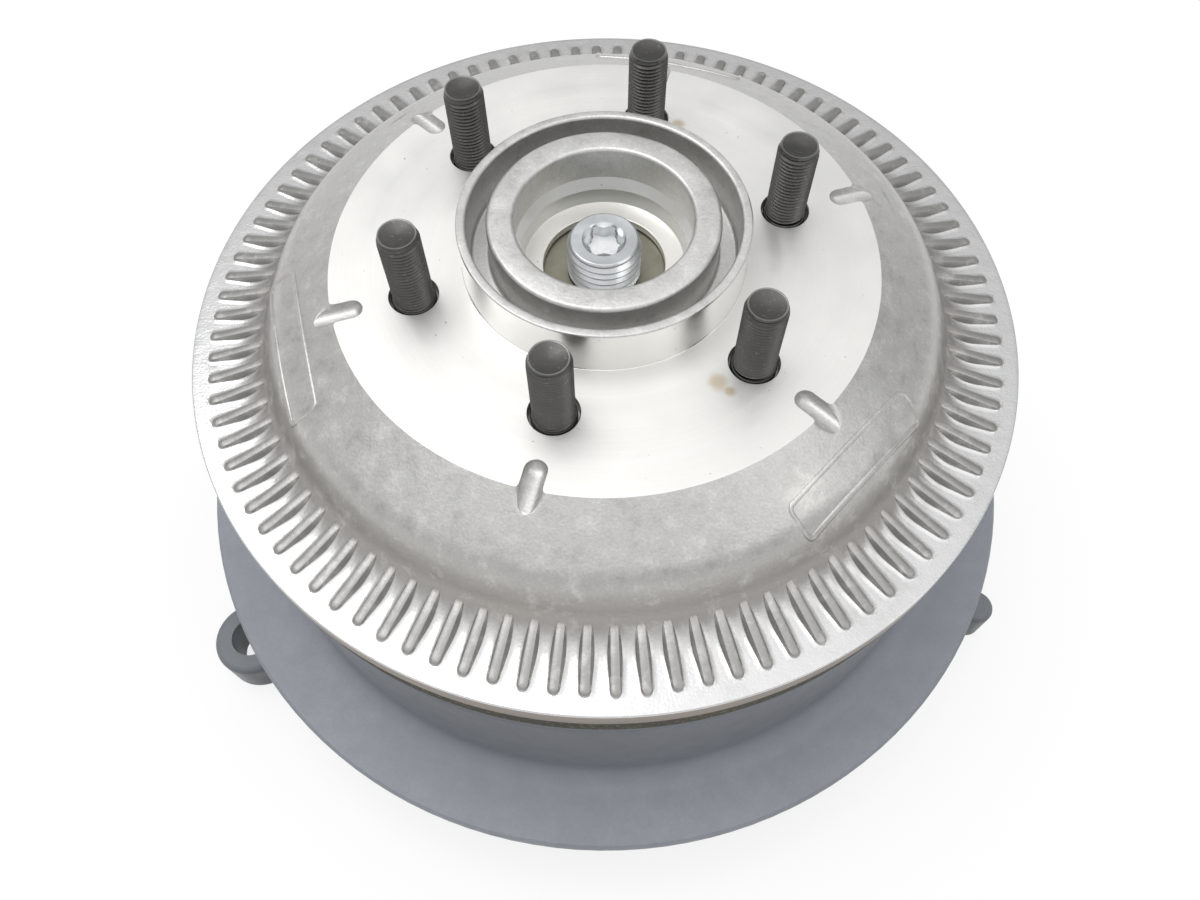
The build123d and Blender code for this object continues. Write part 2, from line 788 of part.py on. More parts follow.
# Fan disc: one aluminium casting with its machined face, pilot rings, bearing bore and fins
cone_z = face_z - cone_drop
cone_angle = atan2(cone_drop, cone_r - face_r)
flank = radians(flank_angle)
shoulder_end = (
    cone_r + shoulder_r * (sin(flank) - sin(cone_angle)),
    cone_z - shoulder_r * (cos(cone_angle) - cos(flank)),
)
foot_z = rim_top + foot_r * (1 - cos(flank))
foot_inner_r = shoulder_end[0] + (shoulder_end[1] - foot_z) / tan(flank)
foot_outer_r = foot_inner_r + foot_r * sin(flank)
with BuildPart() as fan_disc:
    with BuildSketch(Plane.XZ):
        with BuildLine():
            Polyline(
                (foot_outer_r, rim_top),
                (rim_r - edge_break / 2, rim_top),
                (rim_r, rim_top - edge_break / 2),
                (rim_r, rim_bottom),
                (rim_r - rim_lip, rim_bottom),
                (rim_r - rim_lip, ring_top),
                (cavity_r, ring_top),
                (cavity_r, casting_low - cavity_slope_h),
                (cavity_r - cavity_shoulder, casting_low),
                (fan_bearing_outer_r + disc_hub_wall, casting_low),
                (fan_bearing_outer_r + disc_hub_wall, disc_hub_low),
                (fan_bearing_outer_r, disc_hub_low),
                (fan_bearing_outer_r, fan_groove_low),
                (fan_bearing_outer_r + fan_snap_t, fan_groove_low),
                (fan_bearing_outer_r + fan_snap_t, fan_bearing_low),
                (fan_bearing_outer_r, fan_bearing_low),
                (fan_bearing_outer_r, outer_race_top),
                (lip_relief_r, outer_race_top),
                (lip_relief_r, lip_low),
                (lip_r, lip_low),
                (lip_r, well_floor),
                (well_floor_r, well_floor),
                (well_r + well_relief - well_cone_in, pilot_top - well_cone_z - well_cone_h),
                (well_r + well_relief, pilot_top - well_cone_z),
                (well_r, pilot_top - soft_edge),
                (well_r + soft_edge, pilot_top),
                (inner_ring_r - soft_edge, pilot_top),
                (inner_ring_r, pilot_top - soft_edge),
                (inner_ring_r, pilot_top - pilot_groove_depth),
                (pilot_r - pilot_wall, pilot_top - pilot_groove_depth),
                (pilot_r - pilot_wall, pilot_top),
                (pilot_r - soft_edge / 2, pilot_top),
                (pilot_r, pilot_top - soft_edge / 2),
                (pilot_r, face_z),
                (face_r, face_z),
                (cone_r, cone_z),
            )
            RadiusArc((cone_r, cone_z), shoulder_end, shoulder_r)
            Line(shoulder_end, (foot_inner_r, foot_z))
            RadiusArc((foot_inner_r, foot_z), (foot_outer_r, rim_top), -foot_r)
        make_face()
    revolve(axis=Axis.Z)
    with PolarLocations(0, fin_count, start_angle=fin_phase):
        add(fin_form.part)
    for stud in range(stud_count):
        slot_angle = radians(stud_phase + stud * 360 / stud_count)
        slot_start_r = slot_inner_r + slot_r
        slot_plane = Plane(
            origin=(slot_start_r * cos(slot_angle), slot_start_r * sin(slot_angle), face_z - slot_depth + slot_r),
            x_dir=(0, 0, 1),
            z_dir=(cos(slot_angle), sin(slot_angle), 0),
        )
        with BuildSketch(slot_plane):
            Circle(slot_r)
        extrude(amount=cone_r - slot_inner_r, mode=Mode.SUBTRACT)
        with Locations(slot_plane):
            Sphere(slot_r, mode=Mode.SUBTRACT)
    with BuildSketch(Plane.XY.offset(casting_low)):
        with PolarLocations(stud_circle_r, stud_count, start_angle=stud_phase):
            Circle(stud_shank_r)
    extrude(amount=face_t, mode=Mode.SUBTRACT)
    with BuildSketch(Plane.XY.offset(face_z)):
        with PolarLocations(stud_circle_r, stud_count, start_angle=stud_phase):
            Circle(stud_seat_r)
    extrude(amount=-stud_seat_depth, mode=Mode.SUBTRACT)
    with BuildSketch(Plane.XY.offset(ring_top)):
        with PolarLocations(ring_screw_circle_r, ring_screw_count):
            Circle(ring_screw_r)
    extrude(amount=ring_screw_length - ring_t, mode=Mode.SUBTRACT)
fan_disc.part.label = "fan_disc"
export_step(fan_disc.part, "parts/fan_disc.step")

# Fan studs, pressed in from behind with a knurled shank that ends at the machined face
with BuildPart() as fan_studs:
    with BuildSketch(Plane.XY.offset(casting_low)):
        with PolarLocations(stud_circle_r, stud_count, start_angle=stud_phase):
            Circle(stud_shank_r)
    extrude(amount=face_t)
    with BuildSketch(Plane.XY.offset(face_z)):
        with PolarLocations(stud_circle_r, stud_count, start_angle=stud_phase):
            Circle(stud_r)
    extrude(amount=stud_stand - stud_tip_h)
    with Locations((0, 0, stud_top - stud_tip_h / 2)):
        with PolarLocations(stud_circle_r, stud_count, start_angle=stud_phase):
            Cone(stud_r, stud_tip_r, stud_tip_h)
    with BuildSketch(Plane.XY.offset(casting_low)):
        with PolarLocations(stud_circle_r, stud_count, start_angle=stud_phase):
            Circle(stud_head_r)
    extrude(amount=-stud_head_t)
fan_studs.part.label = "fan_studs"
export_step(fan_studs.part, "parts/fan_studs.step")

# Iron friction ring under the fan disc and its countersunk screws
sink_h = (ring_screw_head_r - ring_screw_r) / tan(radians(countersink_angle / 2))
with BuildPart() as friction_ring:
    with BuildSketch(Plane.XY.offset(rim_bottom)):
        Circle(ring_outer_r)
        Circle(ring_inner_r, mode=Mode.SUBTRACT)
        with PolarLocations(ring_screw_circle_r, ring_screw_count):
            Circle(ring_screw_r, mode=Mode.SUBTRACT)
    extrude(amount=ring_t)
    with Locations((0, 0, rim_bottom + sink_h / 2)):
        with PolarLocations(ring_screw_circle_r, ring_screw_count):
            Cone(ring_screw_head_r, ring_screw_r, sink_h, mode=Mode.SUBTRACT)
friction_ring.part.label = "friction_ring"
export_step(friction_ring.part, "parts/friction_ring.step")

with BuildPart() as ring_screws:
    with BuildSketch(Plane.XY.offset(rim_bottom)):
        with PolarLocations(ring_screw_circle_r, ring_screw_count):
            Circle(ring_screw_r)
    extrude(amount=ring_screw_length)
    with Locations((0, 0, rim_bottom + sink_h / 2)):
        with PolarLocations(ring_screw_circle_r, ring_screw_count):
            Cone(ring_screw_head_r, ring_screw_r, sink_h)
ring_screws.part.label = "ring_screws"
export_step(ring_screws.part, "parts/ring_screws.step")

# Fan bearing: two races, a full set of rollers, a shield at each end and a snap ring below
with BuildPart() as fan_bearing_inner_race:
    with BuildSketch(Plane.XY.offset(fan_bearing_low)):
        Circle(fan_race_r)
        Circle(nose_r, mode=Mode.SUBTRACT)
    extrude(amount=fan_bearing_w)
fan_bearing_inner_race.part.label = "fan_bearing_inner_race"
export_step(fan_bearing_inner_race.part, "parts/fan_bearing_inner_race.step")

with BuildPart() as fan_bearing_rollers:
    with BuildSketch(Plane.XY.offset(fan_bearing_low + roller_inset)):
        with PolarLocations(fan_pitch_r, fan_roller_count):
            Circle(fan_roller_r - roller_gap)
    extrude(amount=fan_bearing_w - 2 * roller_inset)
fan_bearing_rollers.part.label = "fan_bearing_rollers"
export_step(fan_bearing_rollers.part, "parts/fan_bearing_rollers.step")

with BuildPart() as fan_bearing_outer_race:
    with BuildSketch(Plane.XY.offset(fan_bearing_low)):
        Circle(fan_bearing_outer_r)
        Circle(fan_outer_race_r, mode=Mode.SUBTRACT)
    extrude(amount=fan_bearing_w)
fan_bearing_outer_race.part.label = "fan_bearing_outer_race"
export_step(fan_bearing_outer_race.part, "parts/fan_bearing_outer_race.step")

with BuildPart() as fan_bearing_shields:
    for shield_low in (fan_bearing_low + shield_inset, outer_race_top - shield_inset - shield_t):
        with BuildSketch(Plane.XY.offset(shield_low)):
            Circle(fan_outer_race_r)
            Circle(fan_race_r + seal_gap, mode=Mode.SUBTRACT)
        extrude(amount=shield_t)
fan_bearing_shields.part.label = "fan_bearing_shields"
export_step(fan_bearing_shields.part, "parts/fan_bearing_shields.step")

with BuildPart() as fan_snap_ring:
    with BuildSketch(Plane.XY.offset(fan_groove_low)):
        Circle(fan_bearing_outer_r + fan_snap_t)
        Circle(fan_outer_race_r, mode=Mode.SUBTRACT)
        with Locations((fan_bearing_outer_r, 0)):
            Rectangle(2 * (fan_outer_wall + fan_snap_t), snap_opening, mode=Mode.SUBTRACT)
    extrude(amount=fan_snap_t)
fan_snap_ring.part.label = "fan_snap_ring"
export_step(fan_snap_ring.part, "parts/fan_snap_ring.step")

# Clamp ring of the fan bearing
with BuildPart() as clamp_ring:
    with BuildSketch(Plane.XY.offset(outer_race_top)):
        Circle(clamp_ring_r)
        Circle(centre_stud_r, mode=Mode.SUBTRACT)
    extrude(amount=clamp_ring_t)
clamp_ring.part.label = "clamp_ring"
export_step(clamp_ring.part, "parts/clamp_ring.step")

# Centre stud with a six lobe socket, screwed into the nose of the journal
with BuildPart() as centre_stud:
    with BuildSketch(Plane.XY.offset(centre_stud_low)):
        Circle(centre_stud_r)
    extrude(amount=centre_stud_top - centre_stud_low)
    chamfer(faces().sort_by(Axis.Z)[-1].edges(), length=centre_stud_chamfer)
    with BuildSketch(Plane.XY.offset(centre_stud_top)):
        Circle(socket_core_r)
        with PolarLocations(socket_reach_r - socket_lobe_r, socket_lobes):
            Circle(socket_lobe_r)
        fillet(vertices(), radius=socket_corner_r)
    extrude(amount=-socket_depth, mode=Mode.SUBTRACT)
centre_stud.part.label = "centre_stud"
export_step(centre_stud.part, "parts/centre_stud.step")
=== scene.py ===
import bpy
import bmesh
import json
import random
from math import asin, atan2, ceil, cos, degrees, hypot, pi, radians, sin, sqrt, tan
from mathutils import Matrix, Vector


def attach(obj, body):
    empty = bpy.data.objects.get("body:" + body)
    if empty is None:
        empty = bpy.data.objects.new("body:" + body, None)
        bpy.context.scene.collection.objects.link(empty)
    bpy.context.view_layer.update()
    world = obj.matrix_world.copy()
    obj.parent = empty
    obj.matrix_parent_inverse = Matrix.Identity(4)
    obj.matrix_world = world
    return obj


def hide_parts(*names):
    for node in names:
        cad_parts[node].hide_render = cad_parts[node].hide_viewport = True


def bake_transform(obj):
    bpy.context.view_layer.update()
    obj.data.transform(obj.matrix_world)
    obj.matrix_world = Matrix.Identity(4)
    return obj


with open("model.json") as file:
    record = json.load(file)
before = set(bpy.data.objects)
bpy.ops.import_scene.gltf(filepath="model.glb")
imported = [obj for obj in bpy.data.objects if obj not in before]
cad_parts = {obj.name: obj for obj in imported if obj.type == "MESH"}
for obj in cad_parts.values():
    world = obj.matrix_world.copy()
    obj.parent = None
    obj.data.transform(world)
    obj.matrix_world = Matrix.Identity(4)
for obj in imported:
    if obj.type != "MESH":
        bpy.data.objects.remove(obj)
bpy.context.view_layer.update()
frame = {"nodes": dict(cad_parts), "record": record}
NODES = frame["nodes"]
MM = 0.001
random.seed(7)

# Sizes in millimetres, phases in degrees and heights over the floor. Main sizes are those of the CAD model.
RIM_R = 130.0
RIM_TOP = 130.0
RIM_BOTTOM = 121.5
RIM_FLAT_R = 128.5
RIM_EDGE = 0.4
RIM_EDGE_HEIGHT = 1.6
FACE_R = 81.1
FACE_Z = 157.5
CONE_R = 96.6
CONE_DROP = 8.4
SHOULDER_R = 14.0
FLANK = radians(65.0)

# Centre well and pilot rings, from the axis outwards
HOLE_R = 18.3
HOLE_LOW = 150.0
WELL_R = 24.3
WELL_FLOOR = 152.3
BAND_LOW_R, BAND_LOW_Z = 25.1, 157.1
BAND_TOP_R, BAND_TOP_Z = 26.2, 161.2
PILOT_TOP = 172.8
INNER_RING_IN, INNER_RING_OUT = 25.5, 33.5
OUTER_RING_IN, OUTER_RING_OUT = 39.1, 42.0
GROOVE_FLOOR = 159.0

# Underside of the fan disc: seat of the friction ring, cavity, hub and bearing bore
SEAT_RING_IN, SEAT_RING_OUT = 84.0, 128.0
RING_TOP = 126.0
CAVITY_R = 76.0
CASTING_LOW = 146.0
HUB_R = 40.0
HUB_LOW = 120.0
BEARING_R = 31.0
BEARING_TOP = 148.0
BEARING_LIP_R = 22.0

# Studs and the seats round their feet
STUD_COUNT = 6
STUD_PHASE = -103.74
STUD_CIRCLE = 57.15
STUD_R = 5.95
STUD_TOP = 183.4
STUD_PITCH = 1.25
STUD_THREAD_DEPTH = 0.66
STUD_TIP_R, STUD_TIP_HEIGHT = 5.25, 2.2
STUD_SINK = 0.4
STUD_CORE_R = 5.0
STUD_SHANK_R = 6.5
STUD_SHANK_EDGE = 0.3
STUD_HEAD_R, STUD_HEAD_LOW = 9.0, 141.0
STUD_SIDES = 40
STUD_TURN = 67.0
SEAT_R = 7.1
SEAT_DEPTH = 4.0
SEAT_EDGE = 0.5
SEAT_SIDES = 48

# Slots in the edge of the turned face
SLOT_R = 3.2
SLOT_START = 75.2
SLOT_AXIS_Z = FACE_Z + 0.2
SLOT_LIP = 1.0
SLOT_POWER = 2.6

# Cooling fins
FIN_COUNT = 96
FIN_PHASE = 1.3
# Half the width of the crest, its least, and its gain for each millimetre outwards
FIN_HEAD = 1.22
FIN_HEAD_LEAST = 0.12
FIN_WIDENING = 0.012
FIN_DRAFT = 0.30
FIN_EDGE = 0.5
FIN_ROOT = 1.15
FIN_TOP_R = 107.2
FIN_TOP_H = 4.5
FIN_LEAD = 0.5
FIN_INNER_ROUND = 1.3
FIN_MERGE_R = 112.0
FIN_MERGE = 0.03
FIN_SLOPE = 3.5 / 15.3
FIN_NOSE_R = 122.0
FIN_TIP_R = 123.0
FIN_OUTER_R = 125.1
# Share of a rounding's radius at the middle of its arc
ARC_MIDDLE = 0.293

# Centre stud with its six lobe socket
CENTRE_TOP = 163.0
CENTRE_R = 10.98
CENTRE_PITCH = 2.5
CENTRE_THREAD_DEPTH = 1.25
CENTRE_THREAD_LOW = 149.5
CENTRE_CROWN = 1.2
CENTRE_TIP_R, CENTRE_TIP_HEIGHT = 10.2, 0.9
CENTRE_SHANK_R = 11.0
CENTRE_SHANK_EDGE = 0.4
CENTRE_LOW = 128.0
CENTRE_SIDES = 72
LOBES = 6
LOBE_MEAN_R, LOBE_WAVE = 5.35, 0.55
AXIS_R = 0.02

# Raised frames on the cone
FRAME_ANGLES = (-43.85, -163.85, 76.15)
FRAME_IN, FRAME_OUT, FRAME_LENGTH = 90.6, 99.4, 50.6
FRAME_CORNER = 2.0
FRAME_CORNER_STEPS = 6
FRAME_STEP = 1.2


# Materials
class Mat:
    """A procedural material: a Principled shader with a few helpers for its nodes."""

    def __init__(self, name, colour, rough, metal=1.0, specular=0.5):
        self.m = bpy.data.materials.new(name)
        self.m.use_nodes = True
        self.nt = self.m.node_tree
        self.bsdf = self.nt.nodes["Principled BSDF"]
        self.set("Base Color", (*colour, 1))
        self.set("Roughness", rough)
        self.set("Metallic", metal)
        self.set("Specular IOR Level", specular)
        self.coord = self.new("ShaderNodeTexCoord").outputs["Object"]

    def new(self, kind, **props):
        node = self.nt.nodes.new(kind)
        for key, value in props.items():
            setattr(node, key, value)
        return node

    def set(self, name, value):
        self.bsdf.inputs[name].default_value = value

    def plug(self, source, target):
        """Links a socket to the target, or sets the target to a value."""
        if hasattr(source, "links"):
            self.nt.links.new(source, target)
        else:
            target.default_value = source

    def out(self, name, source):
        self.nt.links.new(source, self.bsdf.inputs[name])

    def noise(self, scale, detail=3.0, rough=0.5, vector=None, distortion=0.0):
        """Noise from 0 to 1, mostly near 0.5. The scale is in features per metre."""
        node = self.new("ShaderNodeTexNoise")
        node.inputs["Scale"].default_value = scale
        node.inputs["Detail"].default_value = detail
        node.inputs["Roughness"].default_value = rough
        node.inputs["Distortion"].default_value = distortion
        self.nt.links.new(vector or self.coord, node.inputs["Vector"])
        return node.outputs["Fac"]

    def math(self, op, a, b=0.0):
        node = self.new("ShaderNodeMath", operation=op)
        self.plug(a, node.inputs[0])
        self.plug(b, node.inputs[1])
        return node.outputs[0]

    def span(self, value, low, high, to_low=0.0, to_high=1.0, smooth=False):
        """Maps low to to_low and high to to_high, and stays at these beyond."""
        node = self.new("ShaderNodeMapRange", interpolation_type="SMOOTHSTEP" if smooth else "LINEAR")
        self.plug(value, node.inputs[0])
        for i, v in enumerate((low, high, to_low, to_high)):
            node.inputs[1 + i].default_value = v
        return node.outputs[0]

    def zone(self, value, limits, to_low=0.0, to_high=1.0, smooth=True):
        """A span of a length, with its limits in millimetres."""
        low, high = limits
        return self.span(value, low * MM, high * MM, to_low, to_high, smooth)

    def mix(self, factor, a, b):
        node = self.new("ShaderNodeMix", data_type="RGBA")
        self.plug(factor, node.inputs[0])
        self.plug((*a, 1) if isinstance(a, tuple) else a, node.inputs[6])
        self.plug((*b, 1) if isinstance(b, tuple) else b, node.inputs[7])
        return node.outputs[2]

    def ring(self):
        """Radius from the axis, height, and both as a vector that is the same all round the axis."""
        split = self.new("ShaderNodeSeparateXYZ")
        self.nt.links.new(self.coord, split.inputs[0])
        x2 = self.math("POWER", split.outputs[0], 2.0)
        y2 = self.math("POWER", split.outputs[1], 2.0)
        r = self.math("SQRT", self.math("ADD", x2, y2))
        join = self.new("ShaderNodeCombineXYZ")
        self.nt.links.new(r, join.inputs[0])
        self.nt.links.new(split.outputs[2], join.inputs[1])
        return r, split.outputs[2], join.outputs[0]

    def spot(self, x, y, z, size, wobble=0.35):
        """1 near a point, falling to 0 at its ragged edge. The place and size are in millimetres."""
        node = self.new("ShaderNodeVectorMath", operation="DISTANCE")
        self.nt.links.new(self.coord, node.inputs[0])
        node.inputs[1].default_value = (x * MM, y * MM, z * MM)
        ragged = self.noise(220.0, detail=4.0, rough=0.65)
        edge = self.math("MULTIPLY", ragged, size * MM * wobble * 2)
        away = self.math("ADD", node.outputs["Value"], edge)
        return self.span(away, size * MM * 0.6, size * MM * 1.5, 1.0, 0.0, smooth=True)

    def bump(self, height, strength, distance):
        """Adds a bump to those that the shader has. The distance is in metres."""
        node = self.new("ShaderNodeBump")
        node.inputs["Strength"].default_value = strength
        node.inputs["Distance"].default_value = distance
        self.nt.links.new(height, node.inputs["Height"])
        linked = self.bsdf.inputs["Normal"].links
        if linked:
            self.nt.links.new(linked[0].from_socket, node.inputs["Normal"])
        self.nt.links.new(node.outputs[0], self.bsdf.inputs["Normal"])


def shade(colour, factor):
    return tuple(min(1.0, c * factor) for c in colour)


# Radii and heights over the body between which the looks of the casting change, in millimetres
FIN_ZONE = (106.5, 112.0)
# Over the next zone the fins turn darker outwards
FIN_DARKENING_ZONE = (110.0, 123.0)
# Over the next zone the skin between the fins turns smooth and bright outwards, with painted shade at its
# inner end
SKIN_AND_SHADE_ZONE = (108.0, 123.0)
# The next zone, with its amount and colour below, gives the flank of the dome painted shade with a dirt tint
SHADE_AND_DIRT_ZONE = (97.5, 105.0)
FIN_HEIGHTS = (0.2, 0.7)
VALLEY_HEIGHTS = (0.12, 0.6)
SHADE_AND_DIRT_AMOUNT = 0.58
SPOT_AMOUNT, STAIN_AMOUNT = 0.55, 0.7
SHADE_AND_DIRT_COLOUR = (0.33, 0.30, 0.265)
SPECK_COLOUR = (0.26, 0.24, 0.21)
DUST_COLOUR = (0.52, 0.53, 0.54)
DARK_FLECK = (0.02, 0.02, 0.02)


def cast_aluminium(name, colour, fin_shade_colour, rim_colour, spots_and_sheen=()):
    """Die cast skin, duller on the fins and darker there as painted shade, smooth and bright on the rim and
    between the fins, with painted shade and a dirt tint on the flank of the dome, and spots, among them a
    painted sheen.
    """
    a = Mat(name, colour, rough=0.42)
    r, z, _ = a.ring()
    broad = a.noise(26.0, detail=3.0, rough=0.55)
    blotch = a.noise(170.0, detail=5.0, rough=0.68, distortion=0.15)
    grain = a.noise(1300.0, detail=2.0, rough=0.6)
    inward = a.math("MAXIMUM", a.math("SUBTRACT", FOOT_END * MM, r), 0.0)
    inward2 = a.math("POWER", inward, 2.0)
    sagitta = a.math("SQRT", a.math("SUBTRACT", (SHOULDER_R * MM) ** 2, inward2))
    body = a.math("SUBTRACT", (RIM_TOP + SHOULDER_R) * MM, sagitta)
    above = a.math("SUBTRACT", z, body)
    outside = a.zone(r, FIN_ZONE)
    fin = a.math("MULTIPLY", a.zone(above, FIN_HEIGHTS), outside)
    inside = a.span(outside, 0.0, 1.0, 1.0, 0.0)
    # Painted shade with a brownish dirt tint on the shoulder and flank of the dome, inside the fins
    shade_and_dirt = a.math("MULTIPLY", a.zone(r, SHADE_AND_DIRT_ZONE, 0.0, SHADE_AND_DIRT_AMOUNT), inside)
    base = a.mix(shade_and_dirt, colour, SHADE_AND_DIRT_COLOUR)
    # The fins get a darker colour than the dome as painted shade, darker still towards their outer ends
    fin_darker_outwards = a.mix(a.zone(r, FIN_DARKENING_ZONE, smooth=False), fin_shade_colour, shade(fin_shade_colour, 0.80))
    col = a.mix(fin, base, fin_darker_outwards)
    col = a.mix(a.span(broad, 0.35, 0.68, 0.0, 0.12), col, shade(colour, 0.6))
    col = a.mix(a.span(blotch, 0.53, 0.72, 0.0, 0.42), col, shade(colour, 1.45))
    col = a.mix(a.span(blotch, 0.46, 0.30, 0.0, 0.45), col, shade(colour, 0.6))
    col = a.mix(a.span(grain, 0.30, 0.70, 0.0, 0.26), col, shade(colour, 0.5))
    low = a.zone(above, VALLEY_HEIGHTS, 1.0, 0.0)
    # Between the fins the skin turns smooth and bright outwards; its darker inner end is painted shade near
    # the foot of the dome
    smooth_skin = a.math("MULTIPLY", low, a.zone(r, SKIN_AND_SHADE_ZONE, 0.25, 1.0))
    smooth_skin = a.math("MULTIPLY", smooth_skin, outside)
    patch = a.span(a.noise(60.0, detail=5.0, rough=0.7), 0.48, 0.66, 1.0, 0.45)
    smooth_skin = a.math("MULTIPLY", smooth_skin, patch)
    col = a.mix(smooth_skin, col, rim_colour)
    # Spots of colour, some of them a painted sheen
    for x, y, spot_z, size, tint in spots_and_sheen:
        mask = a.spot(x, y, spot_z, size, wobble=0.9)
        col = a.mix(a.math("MULTIPLY", mask, SPOT_AMOUNT), col, tint)
    a.out("Base Color", col)
    blotchy = a.span(blotch, 0.3, 0.7, 0.36, 0.46)
    a.out("Roughness", a.math("ADD", blotchy, a.math("MULTIPLY", smooth_skin, -0.17)))
    a.bump(a.noise(260.0, detail=3.0, rough=0.55), strength=0.16, distance=0.0005)
    a.bump(grain, strength=0.45, distance=0.00014)
    return a.m


def turned_aluminium(name, colour, rough, stains=(), metal=1.0):
    """Bright metal with the fine rings that a turning tool leaves."""
    a = Mat(name, colour, rough, metal)
    _, _, ring = a.ring()
    marks = a.noise(2600.0, detail=2.0, rough=0.5, vector=ring)
    wide = a.noise(160.0, detail=2.0, rough=0.5, vector=ring)
    broad = a.noise(28.0, detail=4.0, rough=0.6)
    speck = a.noise(520.0, detail=2.0, rough=0.7)
    col = a.mix(a.span(broad, 0.35, 0.7), shade(colour, 0.95), shade(colour, 1.04))
    col = a.mix(a.span(marks, 0.3, 0.7, 0.0, 0.10), col, shade(colour, 0.8))
    col = a.mix(a.span(speck, 0.725, 0.76, 0.0, 0.6), col, SPECK_COLOUR)
    for x, y, stain_z, size, tint in stains:
        col = a.mix(a.math("MULTIPLY", a.spot(x, y, stain_z, size), STAIN_AMOUNT), col, tint)
    a.out("Base Color", col)
    a.out("Roughness", a.span(a.math("ADD", broad, wide), 0.7, 1.3, rough * 0.85, rough * 1.25))
    a.bump(marks, strength=0.30, distance=0.00003)
    return a.m


def painted_iron(name, colour, rough=0.42):
    """Matt paint with a soft mottle and fine light dust."""
    a = Mat(name, colour, rough, metal=0.0, specular=0.22)
    broad = a.noise(18.0, detail=3.0, rough=0.5)
    mottle = a.noise(130.0, detail=4.0, rough=0.6)
    dust = a.noise(900.0, detail=3.0, rough=0.7)
    col = a.mix(a.span(broad, 0.35, 0.65), shade(colour, 0.95), shade(colour, 1.05))
    col = a.mix(a.span(mottle, 0.35, 0.7, 0.0, 0.45), col, shade(colour, 0.84))
    col = a.mix(a.span(dust, 0.35, 0.65, 0.0, 0.35), col, shade(colour, 0.80))
    col = a.mix(a.span(dust, 0.68, 0.76, 0.0, 0.45), col, DUST_COLOUR)
    a.out("Base Color", col)
    a.out("Roughness", a.span(mottle, 0.3, 0.7, rough * 0.85, rough * 1.2))
    a.bump(mottle, strength=0.30, distance=0.0004)
    a.bump(dust, strength=0.50, distance=0.00016)
    return a.m


def steel(name, colour, rough, worn=(0.5, 0.5, 0.5), wear=0.15, metal=1.0):
    """Plain or plated steel with fine worn specks."""
    a = Mat(name, colour, rough, metal)
    _, _, ring = a.ring()
    streak = a.noise(1400.0, detail=2.0, rough=0.5, vector=ring)
    broad = a.noise(90.0, detail=4.0, rough=0.6)
    fine = a.noise(1100.0, detail=3.0, rough=0.65)
    col = a.mix(a.span(broad, 0.35, 0.7), shade(colour, 0.85), shade(colour, 1.12))
    col = a.mix(a.span(fine, 0.62, 0.72, 0.0, wear), col, worn)
    a.out("Base Color", col)
    a.out("Roughness", a.span(a.math("ADD", broad, streak), 0.7, 1.3, rough * 0.8, rough * 1.2))
    a.bump(streak, strength=0.15, distance=0.00003)
    a.bump(fine, strength=0.12, distance=0.00005)
    return a.m


def moulded(name, colour, rough, flecks=None, fleck_amount=0.5, bump=0.3):
    """Rubber, carbon or friction material, with light and dark flecks where they are asked for."""
    a = Mat(name, colour, rough, metal=0.0)
    broad = a.noise(60.0, detail=4.0, rough=0.6)
    fine = a.noise(1300.0, detail=4.0, rough=0.7)
    col = a.mix(a.span(broad, 0.3, 0.7), shade(colour, 0.75), shade(colour, 1.3))
    if flecks:
        light = a.span(a.noise(700.0, detail=3.0, rough=0.7), 0.56, 0.66, 0.0, fleck_amount)
        col = a.mix(light, col, flecks)
        dark = a.span(a.noise(420.0, detail=2.0, rough=0.6), 0.62, 0.68, 0.0, fleck_amount)
        col = a.mix(dark, col, DARK_FLECK)
    a.out("Base Color", col)
    a.out("Roughness", a.span(fine, 0.3, 0.7, rough * 0.85, min(1.0, rough * 1.15)))
    a.bump(fine, bump, distance=0.00015)
    return a.m


# Front of the fan disc as a height over the radius, between the turned face and the rim
cone_angle = atan2(CONE_DROP, CONE_R - FACE_R)
arc_r = CONE_R - SHOULDER_R * sin(cone_angle)
arc_z = FACE_Z - CONE_DROP - SHOULDER_R * cos(cone_angle)
flank_r = arc_r + SHOULDER_R * sin(FLANK)
flank_z = arc_z + SHOULDER_R * cos(FLANK)
foot_z = RIM_TOP + SHOULDER_R * (1 - cos(FLANK))
foot_r = flank_r + (flank_z - foot_z) / tan(FLANK)
FOOT_END = foot_r + SHOULDER_R * sin(FLANK)


def cone(r):
    return FACE_Z - (r - FACE_R) * CONE_DROP / (CONE_R - FACE_R)


def dome(r):
    if r <= FACE_R:
        return FACE_Z
    if r <= CONE_R:
        return cone(r)
    if r <= flank_r:
        return arc_z + sqrt(SHOULDER_R ** 2 - (r - arc_r) ** 2)
    if r <= foot_r:
        return flank_z - (r - flank_r) * tan(FLANK)
    if r < FOOT_END:
        return RIM_TOP + SHOULDER_R - sqrt(SHOULDER_R ** 2 - (FOOT_END - r) ** 2)
    return RIM_TOP


# Spots and stains are (x, y, z, size, colour)
CAST_SPOTS_AND_SHEEN = (
    (-78.0, -62.0, 150.0, 6.0, (0.78, 0.78, 0.77)),
    (-70.0, -74.0, 148.0, 5.0, (0.80, 0.80, 0.79)),
    (-121.0, -22.0, 130.0, 4.5, (0.30, 0.29, 0.27)),
    # The last two spots, light ones near the front right of the cone, are a painted sheen
    (52.0, -76.0, 151.5, 12.0, (0.90, 0.89, 0.84)),
    (55.0, -73.0, 151.0, 8.0, (0.95, 0.94, 0.88)),
)
FACE_STAINS = (
    (31.0, -46.0, FACE_Z, 3.4, (0.60, 0.50, 0.33)),
    (34.0, -49.0, FACE_Z, 2.0, (0.60, 0.48, 0.30)),
    (24.0, 52.8, FACE_Z, 2.6, (0.55, 0.45, 0.30)),
)
CAST_COLOUR = (0.65, 0.645, 0.63)
